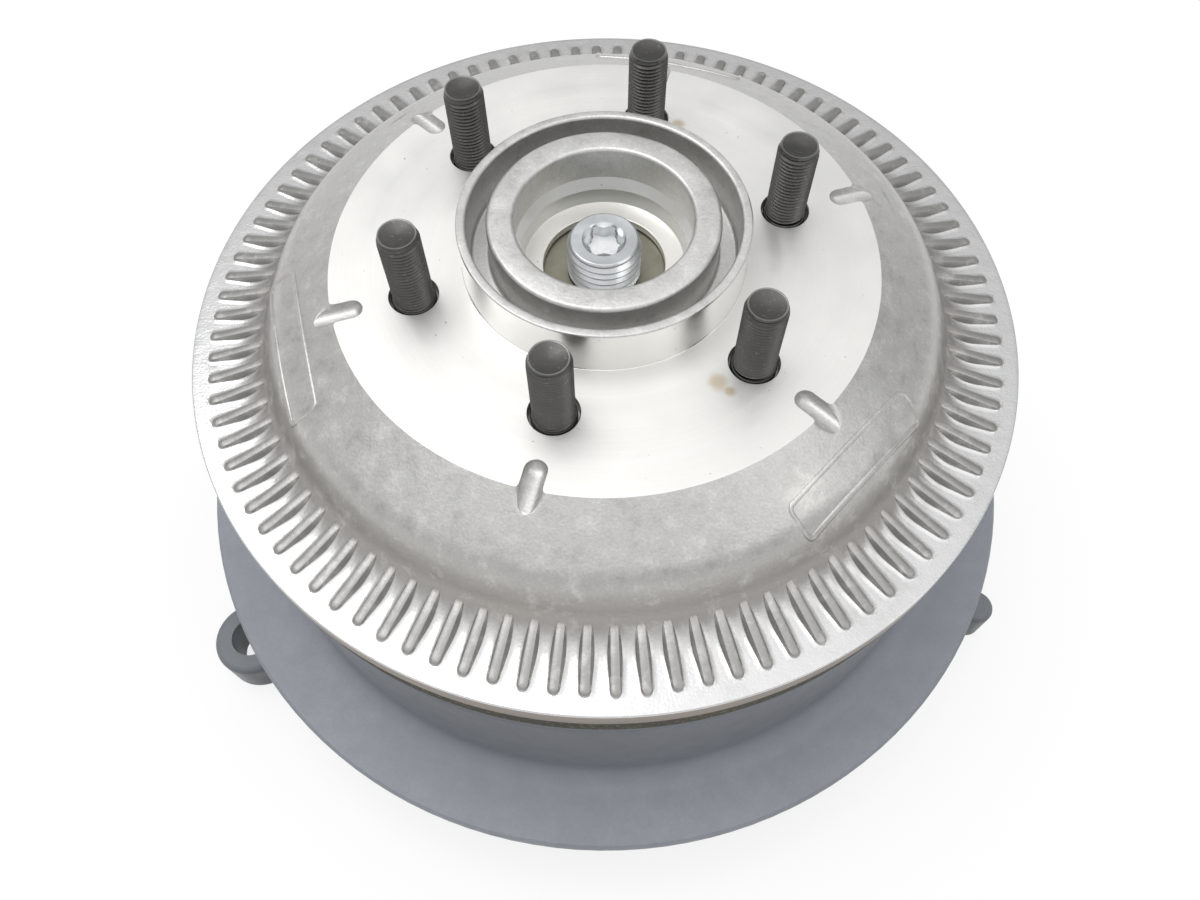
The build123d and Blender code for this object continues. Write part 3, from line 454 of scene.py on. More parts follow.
# The darker colour of the fins is painted shade
FIN_SHADE_COLOUR = (0.46, 0.455, 0.445)
RIM_COLOUR = (0.73, 0.73, 0.735)
RING_COLOUR = (0.74, 0.735, 0.72)
CAST = cast_aluminium("cast aluminium", CAST_COLOUR, FIN_SHADE_COLOUR, RIM_COLOUR, CAST_SPOTS_AND_SHEEN)
RING_CAST = cast_aluminium("cast ring top", RING_COLOUR, RING_COLOUR, RING_COLOUR)
TURNED = turned_aluminium("turned face", (0.88, 0.875, 0.855), 0.45, FACE_STAINS)
RIM_SIDE = turned_aluminium("turned rim side", (0.36, 0.31, 0.27), 0.42)
BORE = turned_aluminium("turned bore", (0.90, 0.895, 0.86), 0.28, metal=0.75)
# The polished band of the well is near white and mostly not metal: a painted reflection
WELL_BAND_PAINTED_BRIGHT = turned_aluminium("polished band of the well", (0.98, 0.975, 0.955), 0.14, metal=0.15)
WALL = turned_aluminium("turned ring wall", (0.95, 0.945, 0.92), 0.20)
STUD_STEEL = steel("black oxide", (0.118, 0.116, 0.113), 0.36, worn=(0.36, 0.36, 0.36), wear=0.45)
WORN_STEEL = steel("worn edge of the studs", (0.26, 0.26, 0.26), 0.32, worn=(0.08, 0.08, 0.08), wear=0.8)
SOCKET_FLOOR = steel("bright zinc of the socket floor", (0.93, 0.95, 0.96), 0.30,
                     worn=(0.70, 0.72, 0.74), wear=0.3, metal=0.2)
SLOT_MATERIALS = {
    "grey_paint": painted_iron("grey paint", (0.352, 0.373, 0.411)),
    "grey_paint_bracket": painted_iron("grey paint of the bracket", (0.240, 0.256, 0.279), 0.38),
    "cast_aluminium": CAST,
    "cast_aluminium_inner": turned_aluminium("turned inner aluminium", (0.60, 0.60, 0.59), 0.32),
    "ground_steel": steel("ground steel", (0.52, 0.52, 0.53), 0.25),
    "bearing_steel": steel("bearing steel", (0.60, 0.60, 0.62), 0.16),
    "spring_steel": steel("blued spring steel", (0.16, 0.17, 0.20), 0.32),
    "black_oxide_steel": STUD_STEEL,
    "rusty_iron": steel("rusty iron", (0.24, 0.19, 0.15), 0.55, worn=(0.30, 0.15, 0.07), wear=0.6, metal=0.6),
    "friction_material": moulded("friction material", (0.085, 0.078, 0.058), 0.75,
                                 flecks=(0.42, 0.36, 0.24), fleck_amount=0.75, bump=0.6),
    "seal_rubber": moulded("seal rubber", (0.022, 0.022, 0.023), 0.6),
    "carbon": moulded("carbon", (0.03, 0.03, 0.034), 0.35),
    "yellow_zinc": steel("yellow zinc", (0.30, 0.29, 0.235), 0.42, worn=(0.42, 0.40, 0.30), wear=0.3),
    "bright_zinc": steel("bright zinc", (0.68, 0.705, 0.72), 0.22, worn=(0.85, 0.86, 0.88), wear=0.3),
}
for sub in frame["record"]["subparts"]:
    mesh = NODES[sub["node"]].data
    mesh.materials.clear()
    mesh.materials.append(SLOT_MATERIALS[sub["material_slot"]])


# Mesh helpers, in millimetres until the mesh is made
def rounded(points, step=18.0):
    """Profile (r, z, radius, label) with each corner rounded. The label names the stretch after a point."""
    out = []
    n = len(points)
    for i, (r, z, rad, label) in enumerate(points):
        if not rad:
            out.append((r, z, label))
            continue
        a = Vector(points[i - 1][:2]) - Vector((r, z))
        b = Vector(points[(i + 1) % n][:2]) - Vector((r, z))
        half = a.angle(b) / 2
        cut = rad / tan(half)
        a.normalize()
        b.normalize()
        centre = Vector((r, z)) + (a + b).normalized() * rad / sin(half)
        start = Vector((r, z)) + a * cut - centre
        sweep = pi - 2 * half
        stop_x = b.x * cut - (centre.x - r)
        stop_y = b.y * cut - (centre.y - z)
        sign = 1 if start.x * stop_y - start.y * stop_x > 0 else -1
        count = max(2, ceil(degrees(sweep) / step))
        for k in range(count + 1):
            t = sign * sweep * k / count
            x = start.x * cos(t) - start.y * sin(t)
            y = start.x * sin(t) + start.y * cos(t)
            out.append((centre.x + x, centre.y + y, label if k == count else points[i - 1][3]))
    return out


def lathe(bm, profile, columns, phase=0.0, closed=True, labels=None):
    """Turns a profile of (r, z, label) round the axis."""
    angles = [radians(phase) + 2 * pi * k / columns for k in range(columns)]
    rings = [[bm.verts.new((r * cos(a), r * sin(a), z)) for a in angles] for r, z, _ in profile]
    last = len(rings) if closed else len(rings) - 1
    for i in range(last):
        a, b = rings[i], rings[(i + 1) % len(rings)]
        index = (labels or {}).get(profile[i][2], 0)
        for k in range(columns):
            f = bm.faces.new((a[k], a[(k + 1) % columns], b[(k + 1) % columns], b[k]))
            f.material_index = index


COLOUR_SEAM_ANGLE = 6.0


def finish_mesh(name, bm, materials, node=None, body=None, sharp=32.0):
    """Makes the piece. Edges that turn more than the sharp angle stay sharp."""
    bmesh.ops.recalc_face_normals(bm, faces=bm.faces)
    for f in bm.faces:
        f.smooth = True
    for e in bm.edges:
        if len(e.link_faces) == 2:
            a, b = e.link_faces
            turn = degrees(e.calc_face_angle(0.0))
            seam = a.material_index != b.material_index
            e.smooth = not (turn > sharp or (turn > COLOUR_SEAM_ANGLE and seam))
    bmesh.ops.scale(bm, vec=(MM, MM, MM), verts=bm.verts)
    mesh = bpy.data.meshes.new(name)
    bm.to_mesh(mesh)
    bm.free()
    for m in materials:
        mesh.materials.append(m)
    obj = bpy.data.objects.new(name, mesh)
    bpy.context.scene.collection.objects.link(obj)
    if body:
        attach(obj, body)
    if node:
        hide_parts(node)
    return obj


def subtract(bm, cutters):
    """The mesh less the cutters, each given as a closed mesh of its own."""
    base = bpy.data.meshes.new("base")
    bm.to_mesh(base)
    bm.free()
    tool = bpy.data.meshes.new("tool")
    cutters.to_mesh(tool)
    cutters.free()
    a = bpy.data.objects.new("base", base)
    b = bpy.data.objects.new("tool", tool)
    for o in (a, b):
        bpy.context.scene.collection.objects.link(o)
    mod = a.modifiers.new("cut", "BOOLEAN")
    mod.operation = "DIFFERENCE"
    mod.solver = "EXACT"
    mod.object = b
    mod.material_mode = "INDEX"
    bpy.context.view_layer.update()
    done = bpy.data.meshes.new_from_object(a.evaluated_get(bpy.context.evaluated_depsgraph_get()))
    out = bmesh.new()
    out.from_mesh(done)
    for o in (a, b):
        bpy.data.objects.remove(o)
    for m in (base, tool, done):
        bpy.data.meshes.remove(m)
    return out


def merge(target, source):
    """Adds a mesh to another and frees it."""
    tmp = bpy.data.meshes.new("tmp")
    source.to_mesh(tmp)
    source.free()
    target.from_mesh(tmp)
    bpy.data.meshes.remove(tmp)


def polar(angle, r):
    return (r * cos(radians(angle)), r * sin(radians(angle)))


# Fan disc: a turned body of (r, z, corner radius, label) points, with the seats of the studs cut in it
LABELS = {"cast": 0, "face": 1, "side": 2, "bore": 3, "top": 4, "band": 5, "wall": 6}
COLUMNS = 4 * FIN_COUNT
COLUMN_STEP = 360.0 / COLUMNS
GRID_IN, GRID_OUT = 99.6, 126.6
PATCH_IN, PATCH_MID, PATCH_OUT = 70.0, 89.0, 93.0
DOME_RADII = (CONE_R, 97.4, 98.2, 99.0, GRID_IN, 104.0, 108.0, 112.0, 117.5)
well = [
    (HOLE_R, HOLE_LOW, 0.15, "bore"),
    (HOLE_R, WELL_FLOOR, 0.3, "bore"),
    (WELL_R, WELL_FLOOR, 0.3, "bore"),
    (BAND_LOW_R, BAND_LOW_Z, 0.15, "band"),
    (BAND_TOP_R, BAND_TOP_Z, 0.2, "top"),
]
pilot_rings = [
    (INNER_RING_IN, PILOT_TOP, 1.2, "top"),
    (INNER_RING_OUT, PILOT_TOP, 1.3, "top"),
    (INNER_RING_OUT, GROOVE_FLOOR, 1.0, "top"),
    (OUTER_RING_IN, GROOVE_FLOOR, 1.0, "top"),
    (OUTER_RING_IN, PILOT_TOP, 0.9, "top"),
    (OUTER_RING_OUT, PILOT_TOP, 0.5, "wall"),
    (OUTER_RING_OUT, FACE_Z, 0.25, "face"),
]
face_and_cone = [
    (PATCH_IN, FACE_Z, 0, "face"),
    (FACE_R, FACE_Z, 0, "cast"),
    (PATCH_MID, cone(PATCH_MID), 0, "cast"),
    (PATCH_OUT, cone(PATCH_OUT), 0, "cast"),
]
face_and_cone += [(r, dome(r), 0, "cast") for r in DOME_RADII]
rim = [
    (GRID_OUT, RIM_TOP, 0, "cast"),
    (RIM_FLAT_R, RIM_TOP, 0, "cast"),
    (RIM_R, RIM_TOP, 0.45, "side"),
    (RIM_R, RIM_BOTTOM + RIM_EDGE_HEIGHT, 0, "side"),
    (RIM_R - RIM_EDGE, RIM_BOTTOM, 0.2, "side"),
]
underside = [
    (SEAT_RING_OUT, RIM_BOTTOM, 0, "bore"),
    (SEAT_RING_OUT, RING_TOP, 0, "bore"),
    (SEAT_RING_IN, RING_TOP, 0, "cast"),
    (SEAT_RING_IN, RIM_TOP, 0, "cast"),
    (CAVITY_R, CASTING_LOW, 3.0, "cast"),
    (HUB_R, CASTING_LOW, 3.0, "cast"),
    (HUB_R, HUB_LOW, 1.2, "bore"),
    (BEARING_R, HUB_LOW, 0, "bore"),
    (BEARING_R, BEARING_TOP, 0, "bore"),
    (BEARING_LIP_R, BEARING_TOP, 0, "bore"),
    (BEARING_LIP_R, HOLE_LOW, 0, "bore"),
]
disc = bmesh.new()
profile = rounded(well + pilot_rings + face_and_cone + rim + underside)
lathe(disc, profile, COLUMNS, phase=FIN_PHASE, labels=LABELS)
bmesh.ops.recalc_face_normals(disc, faces=disc.faces)

SEAT_CORE_R = 0.01
SEAT_MERGE = 0.05
CUT_OVER = 2.0
cutters = bmesh.new()
for k in range(STUD_COUNT):
    x, y = polar(STUD_PHASE + 360.0 / STUD_COUNT * k, STUD_CIRCLE)
    seat = rounded([
        (SEAT_CORE_R, FACE_Z - SEAT_DEPTH, 0, ""),
        (SEAT_R, FACE_Z - SEAT_DEPTH, 0, ""),
        (SEAT_R, FACE_Z - SEAT_EDGE / 2, 0, ""),
        (SEAT_R + SEAT_EDGE, FACE_Z + SEAT_EDGE / 2, 0, ""),
        (SEAT_R + SEAT_EDGE, FACE_Z + CUT_OVER, 0, ""),
        (SEAT_CORE_R, FACE_Z + CUT_OVER, 0, ""),
    ])
    seat_mesh = bmesh.new()
    lathe(seat_mesh, seat, SEAT_SIDES)
    bmesh.ops.remove_doubles(seat_mesh, verts=seat_mesh.verts, dist=SEAT_MERGE)
    bmesh.ops.translate(seat_mesh, vec=(x, y, 0), verts=seat_mesh.verts)
    bmesh.ops.recalc_face_normals(seat_mesh, faces=seat_mesh.faces)
    merge(cutters, seat_mesh)
disc = subtract(disc, cutters)


# How near a vertex of the disc has to be to a ring, to its height and to a column
NEAR_RING, NEAR_HEIGHT, NEAR_COLUMN = 0.004, 0.01, 0.02
RING_SLACK = 0.01


def vertex_map(rings):
    """The disc's vertices on the given rings, as {ring number: {column number: vertex}}."""
    found = {i: {} for i in range(len(rings))}
    for v in disc.verts:
        r = hypot(v.co.x, v.co.y)
        for i, ring_r in enumerate(rings):
            if abs(r - ring_r) < NEAR_RING and abs(v.co.z - dome(ring_r)) < NEAR_HEIGHT:
                column = (degrees(atan2(v.co.y, v.co.x)) - FIN_PHASE) / COLUMN_STEP
                if abs(column - round(column)) < NEAR_COLUMN:
                    found[i][round(column) % COLUMNS] = v
    return found


def open_ring(inner, outer, low_z, columns=None):
    """Takes out the faces of the front between two radii, all round or in the given columns only."""
    gone = []
    for f in disc.faces:
        c = f.calc_center_median()
        if not (inner < hypot(c.x, c.y) < outer and c.z > low_z):
            continue
        if all(inner - RING_SLACK < hypot(v.co.x, v.co.y) < outer + RING_SLACK for v in f.verts):
            column = int((degrees(atan2(c.y, c.x)) - FIN_PHASE) % 360.0 / COLUMN_STEP)
            if columns is None or column in columns:
                gone.append(f)
    bmesh.ops.delete(disc, geom=gone, context="FACES")


# Cooling fins: a fine grid between two rings of the disc
FIN_POINTS = 8
# Just past the end of a fin the points of a row lie close together
FIN_SEAM = 0.03
FIN_SEAM_BEFORE, FIN_SEAM_AFTER = 0.02, 0.45
FIN_HEIGHT_LEAST = 0.01
EDGE_OF_HEIGHT, EDGE_OF_HEAD, ROOT_OF_HEIGHT = 0.45, 0.6, 0.6
EDGE_DRAFT = 0.02
BELOW_RIM = 2.0


def fin_half(r, fin):
    """Half the section across a fin at radius r, as (distance from its centre line, height), with half
    the pitch of the fins and the height of the body there."""
    base = dome(r)
    pitch = r * radians(180.0 / FIN_COUNT)
    end_r = FIN_OUTER_R + fin["long"]
    crest = FIN_TOP_H + fin["high"] - (min(r, FIN_NOSE_R) - FIN_TOP_R) * FIN_SLOPE
    if r > FIN_NOSE_R:
        crest *= sqrt(max(0.0, 1 - ((r - FIN_NOSE_R) / (end_r - FIN_NOSE_R)) ** 2))
    high = RIM_TOP + crest - base
    if r < FIN_MERGE_R:
        high = 0.5 * (high + sqrt(high * high + FIN_MERGE))
    start_r = FIN_TOP_R - FIN_LEAD
    if end_r - FIN_SEAM_BEFORE <= r < end_r + FIN_SEAM_AFTER:
        seam = [(FIN_SEAM * i, base) for i in range(FIN_POINTS - 1)]
        return seam + [(pitch / 2, base)], pitch, base
    if r <= start_r or r >= end_r or high < FIN_HEIGHT_LEAST:
        return [(pitch * i / FIN_POINTS, base) for i in range(FIN_POINTS)], pitch, base
    plan = sqrt(max(0.0, 1 - max(0.0, (start_r + FIN_INNER_ROUND - r) / FIN_INNER_ROUND) ** 2))
    plan *= sqrt(max(0.0, 1 - max(0.0, (r - FIN_TIP_R) / (end_r - FIN_TIP_R)) ** 2))
    head = max(FIN_HEAD_LEAST, (FIN_HEAD + fin["wide"] + (r - FIN_TOP_R) * FIN_WIDENING) * plan)
    edge = min(FIN_EDGE, high * EDGE_OF_HEIGHT, head * EDGE_OF_HEAD)
    root = min(FIN_ROOT, high * ROOT_OF_HEIGHT)
    foot = head + FIN_DRAFT * (high - root)
    top = base + high
    half = [
        (0.0, top),
        (head - edge, top),
        (head - ARC_MIDDLE * edge, top - ARC_MIDDLE * edge),
        (head + EDGE_DRAFT, top - edge),
        (foot, base + root),
        (foot + ARC_MIDDLE * root, base + ARC_MIDDLE * root),
        (foot + root, base),
        ((foot + root + pitch) / 2, base),
    ]
    return half, pitch, base


FIN_ROWS = (
    100.4, 101.6, flank_r, foot_r, 105.6, 106.2, 106.6, 106.85, 107.1, 107.8, 108.4, 109.3, 110.5, 112.0,
    113.7, 115.5, 117.4, 119.8, 121.7, 122.4, 123.1, 123.6, 124.0, 124.35, 124.65, 124.88, 125.05, 125.35,
    125.9,
)
HIGH_SPREAD, WIDE_SPREAD, LONG_SPREAD = 0.08, 0.05, 0.15
fins = [{"high": random.uniform(-HIGH_SPREAD, HIGH_SPREAD),
         "wide": random.uniform(-WIDE_SPREAD, WIDE_SPREAD),
         "long": random.uniform(-LONG_SPREAD, LONG_SPREAD)} for _ in range(FIN_COUNT)]
open_ring(GRID_IN, GRID_OUT, RIM_TOP - BELOW_RIM)
grid = []
for r in FIN_ROWS:
    row = []
    for k in range(FIN_COUNT):
        centre = radians(FIN_PHASE + k * 360.0 / FIN_COUNT)
        one, pitch, base = fin_half(r, fins[k])
        other, _, _ = fin_half(r, fins[(k + 1) % FIN_COUNT])
        points = [(centre + asin(y / r), z) for y, z in one] + [(centre + pitch / r, base)]
        points += [(centre + 2 * pitch / r - asin(y / r), z) for y, z in reversed(other[1:])]
        row += [disc.verts.new((r * cos(a), r * sin(a), z)) for a, z in points]
    grid.append(row)
for a, b in zip(grid, grid[1:]):
    for j in range(len(a)):
        n = (j + 1) % len(a)
        disc.faces.new((a[j], a[n], b[n], b[j]))
per_column = len(grid[0]) // COLUMNS
seams = vertex_map((GRID_IN, GRID_OUT))
for coarse, fine in ((seams[0], grid[0]), (seams[1], grid[-1])):
    for i in range(COLUMNS):
        strip = [fine[(i * per_column + s) % len(fine)] for s in range(per_column + 1)]
        disc.faces.new([coarse[i]] + strip + [coarse[(i + 1) % COLUMNS]])


# Slots: a patch of the front for each, whose columns follow the edge of the slot
SLOT_LEAST = 0.02
LIP_SEAM = 0.005
# Rows at the two ends of a slot: flat, with their points close together
SLOT_ENDS = (71.95, 86.7)
SLOT_SEAM = 0.02
SLOT_ARC_STEPS, SLOT_LIP_STEPS, SLOT_SIDE_STEPS = 8, 3, 4
SLOT_POINTS = SLOT_ARC_STEPS + 1 + SLOT_LIP_STEPS + SLOT_SIDE_STEPS


def slot_width(round_r, z):
    """Half width of a slot of this radius at a height, for a section a little squarer than a circle."""
    deep = max(0.0, SLOT_AXIS_Z - z) / round_r
    return round_r * max(0.0, 1 - deep ** SLOT_POWER) ** (1 / SLOT_POWER)


def slot_half(r, reach):
    """Half the section across a slot at radius r, as (distance from its centre line, height)."""
    top = cone(r)
    level = min(top, FACE_Z)
    back = max(0.0, SLOT_START - r)
    flat = [(reach * i / (SLOT_POINTS - 1), level) for i in range(SLOT_POINTS)]
    if r in SLOT_ENDS:
        near = [(SLOT_SEAM * i, level) for i in range(SLOT_POINTS - SLOT_SIDE_STEPS)]
        return near + [(reach * i / SLOT_SIDE_STEPS, level) for i in range(1, SLOT_SIDE_STEPS + 1)]
    if back >= SLOT_R or level <= SLOT_AXIS_Z - SLOT_R + SLOT_LEAST:
        return flat
    round_r = sqrt(SLOT_R ** 2 - back ** 2)
    if SLOT_AXIS_Z - round_r >= level - SLOT_LEAST:
        return flat
    lip = min(SLOT_LIP, 0.5 * (level - SLOT_AXIS_Z + round_r))
    low = min(top - lip, FACE_Z)
    wall = slot_width(round_r, low)
    edge_y = slot_width(round_r, top) + lip
    turn = asin(min(1.0, (wall / round_r) ** (SLOT_POWER / 2)))
    half = []
    for i in range(SLOT_ARC_STEPS + 1):
        t = turn * i / SLOT_ARC_STEPS
        y = round_r * sin(t) ** (2 / SLOT_POWER)
        half.append((y, SLOT_AXIS_Z - round_r * cos(t) ** (2 / SLOT_POWER)))
    if low >= FACE_Z:
        outer = wall + LIP_SEAM * (SLOT_LIP_STEPS + 1)
        half += [(wall + LIP_SEAM * i, FACE_Z) for i in range(1, SLOT_LIP_STEPS + 1)]
    else:
        last = asin(min(1.0, (level - low) / lip))
        for i in range(1, SLOT_LIP_STEPS + 1):
            t = last * i / SLOT_LIP_STEPS
            half.append((edge_y - (edge_y - wall) * cos(t), low + lip * sin(t)))
        outer = half[-1][0]
    half += [(outer + (reach - outer) * i / SLOT_SIDE_STEPS, level) for i in range(1, SLOT_SIDE_STEPS + 1)]
    return half


SLOT_ROWS = (
    70.8, 71.6, SLOT_ENDS[0], 72.02, 72.08, 72.2, 72.4, 72.7, 73.1, 73.6, 74.2, 74.9, 75.6, 76.6, 77.8,
    78.8, 79.4, 79.8, 80.2, 80.5, 80.8, FACE_R, 81.5, 82.0, 82.6, 83.2, 83.8, 84.4, 84.9, 85.4, 85.8,
    86.1, 86.35, 86.55, SLOT_ENDS[1], 87.1, 88.0, PATCH_MID, 90.5, 92.0,
)
PATCH_COLUMNS = 6
BELOW_CONE = 1.0
FLAT_SLACK = 0.004
face_row = SLOT_ROWS.index(FACE_R)
mid_row = SLOT_ROWS.index(PATCH_MID)
reach_angle = radians((PATCH_COLUMNS - 1) * COLUMN_STEP)
for k in range(STUD_COUNT):
    angle = STUD_PHASE + 360.0 / STUD_COUNT * k
    axis_angle = radians(angle)
    nearest = round((angle - FIN_PHASE) / COLUMN_STEP)
    columns = {(nearest + i) % COLUMNS for i in range(-PATCH_COLUMNS, PATCH_COLUMNS)}
    open_ring(PATCH_IN, PATCH_OUT, cone(PATCH_OUT) - BELOW_CONE, columns)
    patch = []
    for r in SLOT_ROWS:
        half = slot_half(r, reach_angle * r)
        line = [(axis_angle + y / r, z) for y, z in [(-y, z) for y, z in reversed(half[1:])] + half]
        patch.append([disc.verts.new((r * cos(a), r * sin(a), z)) for a, z in line])
    for a, b, r in zip(patch, patch[1:], SLOT_ROWS[1:]):
        for j in range(len(a) - 1):
            f = disc.faces.new((a[j], a[j + 1], b[j + 1], b[j]))
            flat = all(v.co.z > FACE_Z - FLAT_SLACK for v in f.verts)
            f.material_index = LABELS["face"] if flat and r <= FACE_R else LABELS["cast"]
    rims = vertex_map((PATCH_IN, FACE_R, PATCH_MID, PATCH_OUT))
    around = [(nearest + i) % COLUMNS for i in range(-PATCH_COLUMNS, PATCH_COLUMNS + 1)]
    f = disc.faces.new([rims[0][i] for i in around] + patch[0][::-1])
    f.material_index = LABELS["face"]
    disc.faces.new([rims[3][i] for i in around] + patch[-1][::-1])
    for i, end in ((around[0], 0), (around[-1], -1)):
        column = [row[end] for row in patch]
        f = disc.faces.new([rims[1][i], rims[0][i]] + column[:face_row + 1])
        f.material_index = LABELS["face"]
        disc.faces.new([rims[2][i], rims[1][i]] + column[face_row:mid_row + 1])
        disc.faces.new([rims[3][i], rims[2][i]] + column[mid_row:])
finish_mesh("fan_disc_casting", disc, (CAST, TURNED, RIM_SIDE, BORE, RING_CAST, WELL_BAND_PAINTED_BRIGHT, WALL),
            node="fan_disc", body="fan", sharp=38.0)


# Three raised frames on the cone
def frame_outline(half_length, inner, outer, corner):
    """A rounded rectangle as (distance along it, distance from the axis) points, in order."""
    middle = (inner + outer) / 2
    along = half_length - corner
    across = (outer - inner) / 2 - corner
    out = []
    quarters = ((along, across, 0), (-along, across, 90), (-along, -across, 180), (along, -across, 270))
    for cx, cy, start in quarters:
        for i in range(FRAME_CORNER_STEPS + 1):
            a = radians(start + 90 * i / FRAME_CORNER_STEPS)
            out.append((cx + corner * cos(a), cy + corner * sin(a)))
    dense = []
    for i, p in enumerate(out):
        q = out[(i + 1) % len(out)]
        count = max(1, ceil(hypot(q[0] - p[0], q[1] - p[1]) / FRAME_STEP))
        dense += [(p[0] + (q[0] - p[0]) * s / count, p[1] + (q[1] - p[1]) * s / count) for s in range(count)]
    return [(s, middle + w) for s, w in dense]


# Section across a frame's bead, as (distance from its middle, height over the cone)
BEAD = ((-0.75, -0.4), (-0.62, 0.12), (-0.30, 0.38), (0.0, 0.42), (0.30, 0.38), (0.62, 0.12), (0.75, -0.4))
SLOPE_REACH = 0.2
path = frame_outline(FRAME_LENGTH / 2, FRAME_IN, FRAME_OUT, FRAME_CORNER)
frames = bmesh.new()
for angle in FRAME_ANGLES:
    rings = []
    for i, (along, out_from) in enumerate(path):
        run = Vector(path[(i + 1) % len(path)]) - Vector(path[i - 1])
        run.normalize()
        ring = []
        for across, up in BEAD:
            x = along - run.y * across
            y = out_from + run.x * across
            r = hypot(x, y)
            turn = radians(angle) - atan2(x, y)
            slope = atan2(dome(r - SLOPE_REACH) - dome(r + SLOPE_REACH), 2 * SLOPE_REACH)
            out_r = r + up * sin(slope)
            ring.append(frames.verts.new((out_r * cos(turn), out_r * sin(turn), dome(r) + up * cos(slope))))
        rings.append(ring)
    for i, a in enumerate(rings):
        b = rings[(i + 1) % len(rings)]
        for j in range(len(BEAD)):
            n = (j + 1) % len(BEAD)
            frames.faces.new((a[j], a[n], b[n], b[j]))
finish_mesh("cast_frames", frames, (CAST,), body="fan", sharp=60.0)


# Threads: the shares of a turn at which the profile bends, with the depth there
THREAD_STEPS = ((0.0, 0.0), (0.12, 0.0), (0.5, 1.0), (0.62, 1.0))
THREAD_MERGE = 0.004


def threaded(bm, radius, depth, pitch, low, high, hand, columns, tip_r, tip_h):
    """A threaded bar on the Z axis. hand is 1 for a right hand thread, -1 for a left hand one."""
    turns = int(ceil((high - low) / pitch)) + 2
    rings = []
    for t in range(-1, turns):
        for share, d in THREAD_STEPS:
            ring = []
            for k in range(columns):
                a = 2 * pi * k / columns
                z = min(max(low + (t + share + hand * k / columns) * pitch, low), high)
                r = min(radius - depth * d, tip_r + (radius - tip_r) * (high - z) / tip_h)
                ring.append(bm.verts.new((r * cos(a), r * sin(a), z)))
            rings.append(ring)
    shift = len(THREAD_STEPS) * hand
    for i in range(len(rings) - 1):
        for k in range(columns - 1):
            bm.faces.new((rings[i][k], rings[i][k + 1], rings[i + 1][k + 1], rings[i + 1][k]))
        j = i + shift
        if 0 <= j and j + 1 < len(rings):
            bm.faces.new((rings[i][columns - 1], rings[j][0], rings[j + 1][0], rings[i + 1][columns - 1]))
    bmesh.ops.remove_doubles(bm, verts=bm.verts, dist=THREAD_MERGE)
    bmesh.ops.dissolve_degenerate(bm, edges=bm.edges, dist=THREAD_MERGE)
    loose = [v for v in bm.verts if not v.link_faces]
    bmesh.ops.delete(bm, geom=loose, context="VERTS")


STUD_END = [
    (STUD_TIP_R, STUD_TOP, "worn"),
    (STUD_TIP_R - 0.2, STUD_TOP, "worn"),
    (STUD_TIP_R - 0.42, STUD_TOP - 0.06, ""),
    (4.4, STUD_TOP - 0.22, ""),
    (AXIS_R, STUD_TOP - 0.45, ""),
]
STUD_SHANK = [
    (STUD_CORE_R, FACE_Z - STUD_SINK, ""),
    (STUD_SHANK_R - STUD_SHANK_EDGE, FACE_Z - STUD_SINK, ""),
    (STUD_SHANK_R, FACE_Z - STUD_SINK - STUD_SHANK_EDGE, ""),
    (STUD_SHANK_R, CASTING_LOW, ""),
    (STUD_HEAD_R, CASTING_LOW, ""),
    (STUD_HEAD_R, STUD_HEAD_LOW + 0.4, ""),
    (STUD_HEAD_R - 0.5, STUD_HEAD_LOW, ""),
    (AXIS_R, STUD_HEAD_LOW, ""),
]
studs = bmesh.new()
for k in range(STUD_COUNT):
    x, y = polar(STUD_PHASE + 360.0 / STUD_COUNT * k, STUD_CIRCLE)
    one = bmesh.new()
    threaded(one, STUD_R, STUD_THREAD_DEPTH, STUD_PITCH, FACE_Z - STUD_SINK, STUD_TOP, 1, STUD_SIDES,
             STUD_TIP_R, STUD_TIP_HEIGHT)
    lathe(one, STUD_END, STUD_SIDES, closed=False, labels={"worn": 1})
    lathe(one, STUD_SHANK, STUD_SIDES, closed=False)
    turn = Matrix.Rotation(radians(STUD_TURN * k), 3, "Z")
    bmesh.ops.rotate(one, cent=(0, 0, 0), matrix=turn, verts=one.verts)
    bmesh.ops.translate(one, vec=(x, y, 0), verts=one.verts)
    merge(studs, one)
finish_mesh("threaded_fan_studs", studs, (STUD_STEEL, WORN_STEEL), node="fan_studs", body="fan")

# Centre stud with a left hand thread
CENTRE_SHANK = [
    (AXIS_R, CENTRE_LOW, ""),
    (CENTRE_SHANK_R - CENTRE_SHANK_EDGE, CENTRE_LOW, ""),
    (CENTRE_SHANK_R, CENTRE_LOW + CENTRE_SHANK_EDGE, ""),
    (CENTRE_SHANK_R, CENTRE_THREAD_LOW, ""),
    (9.5, CENTRE_THREAD_LOW, ""),
]
# Crown as (radius, depth under the top)
CROWN = ((CENTRE_TIP_R, CENTRE_CROWN), (10.3, 0.95), (10.25, 0.5), (9.9, 0.12), (9.6, 0.0))
# Socket as (radius, share of the lobes in it, depth under the top)
SOCKET = ((9.6, 0.0, 0.0), (8.6, 0.0, 0.04), (6.5, 0.0, 0.1), (6.2, 0.0, 0.3), (0.05, 1.0, 0.7),
          (0.0, 1.0, 1.0), (0.0, 1.0, 4.2), (-0.3, 1.0, 4.5), (-3.0, 1.0, 4.7))
SOCKET_SIDES = 144
stub = bmesh.new()
threaded(stub, CENTRE_R, CENTRE_THREAD_DEPTH, CENTRE_PITCH, CENTRE_THREAD_LOW, CENTRE_TOP - CENTRE_CROWN, -1,
         CENTRE_SIDES, CENTRE_TIP_R, CENTRE_TIP_HEIGHT)
lathe(stub, [(r, CENTRE_TOP - deep, "") for r, deep in CROWN], CENTRE_SIDES, closed=False)
lathe(stub, CENTRE_SHANK, CENTRE_SIDES, closed=False)
rings = []
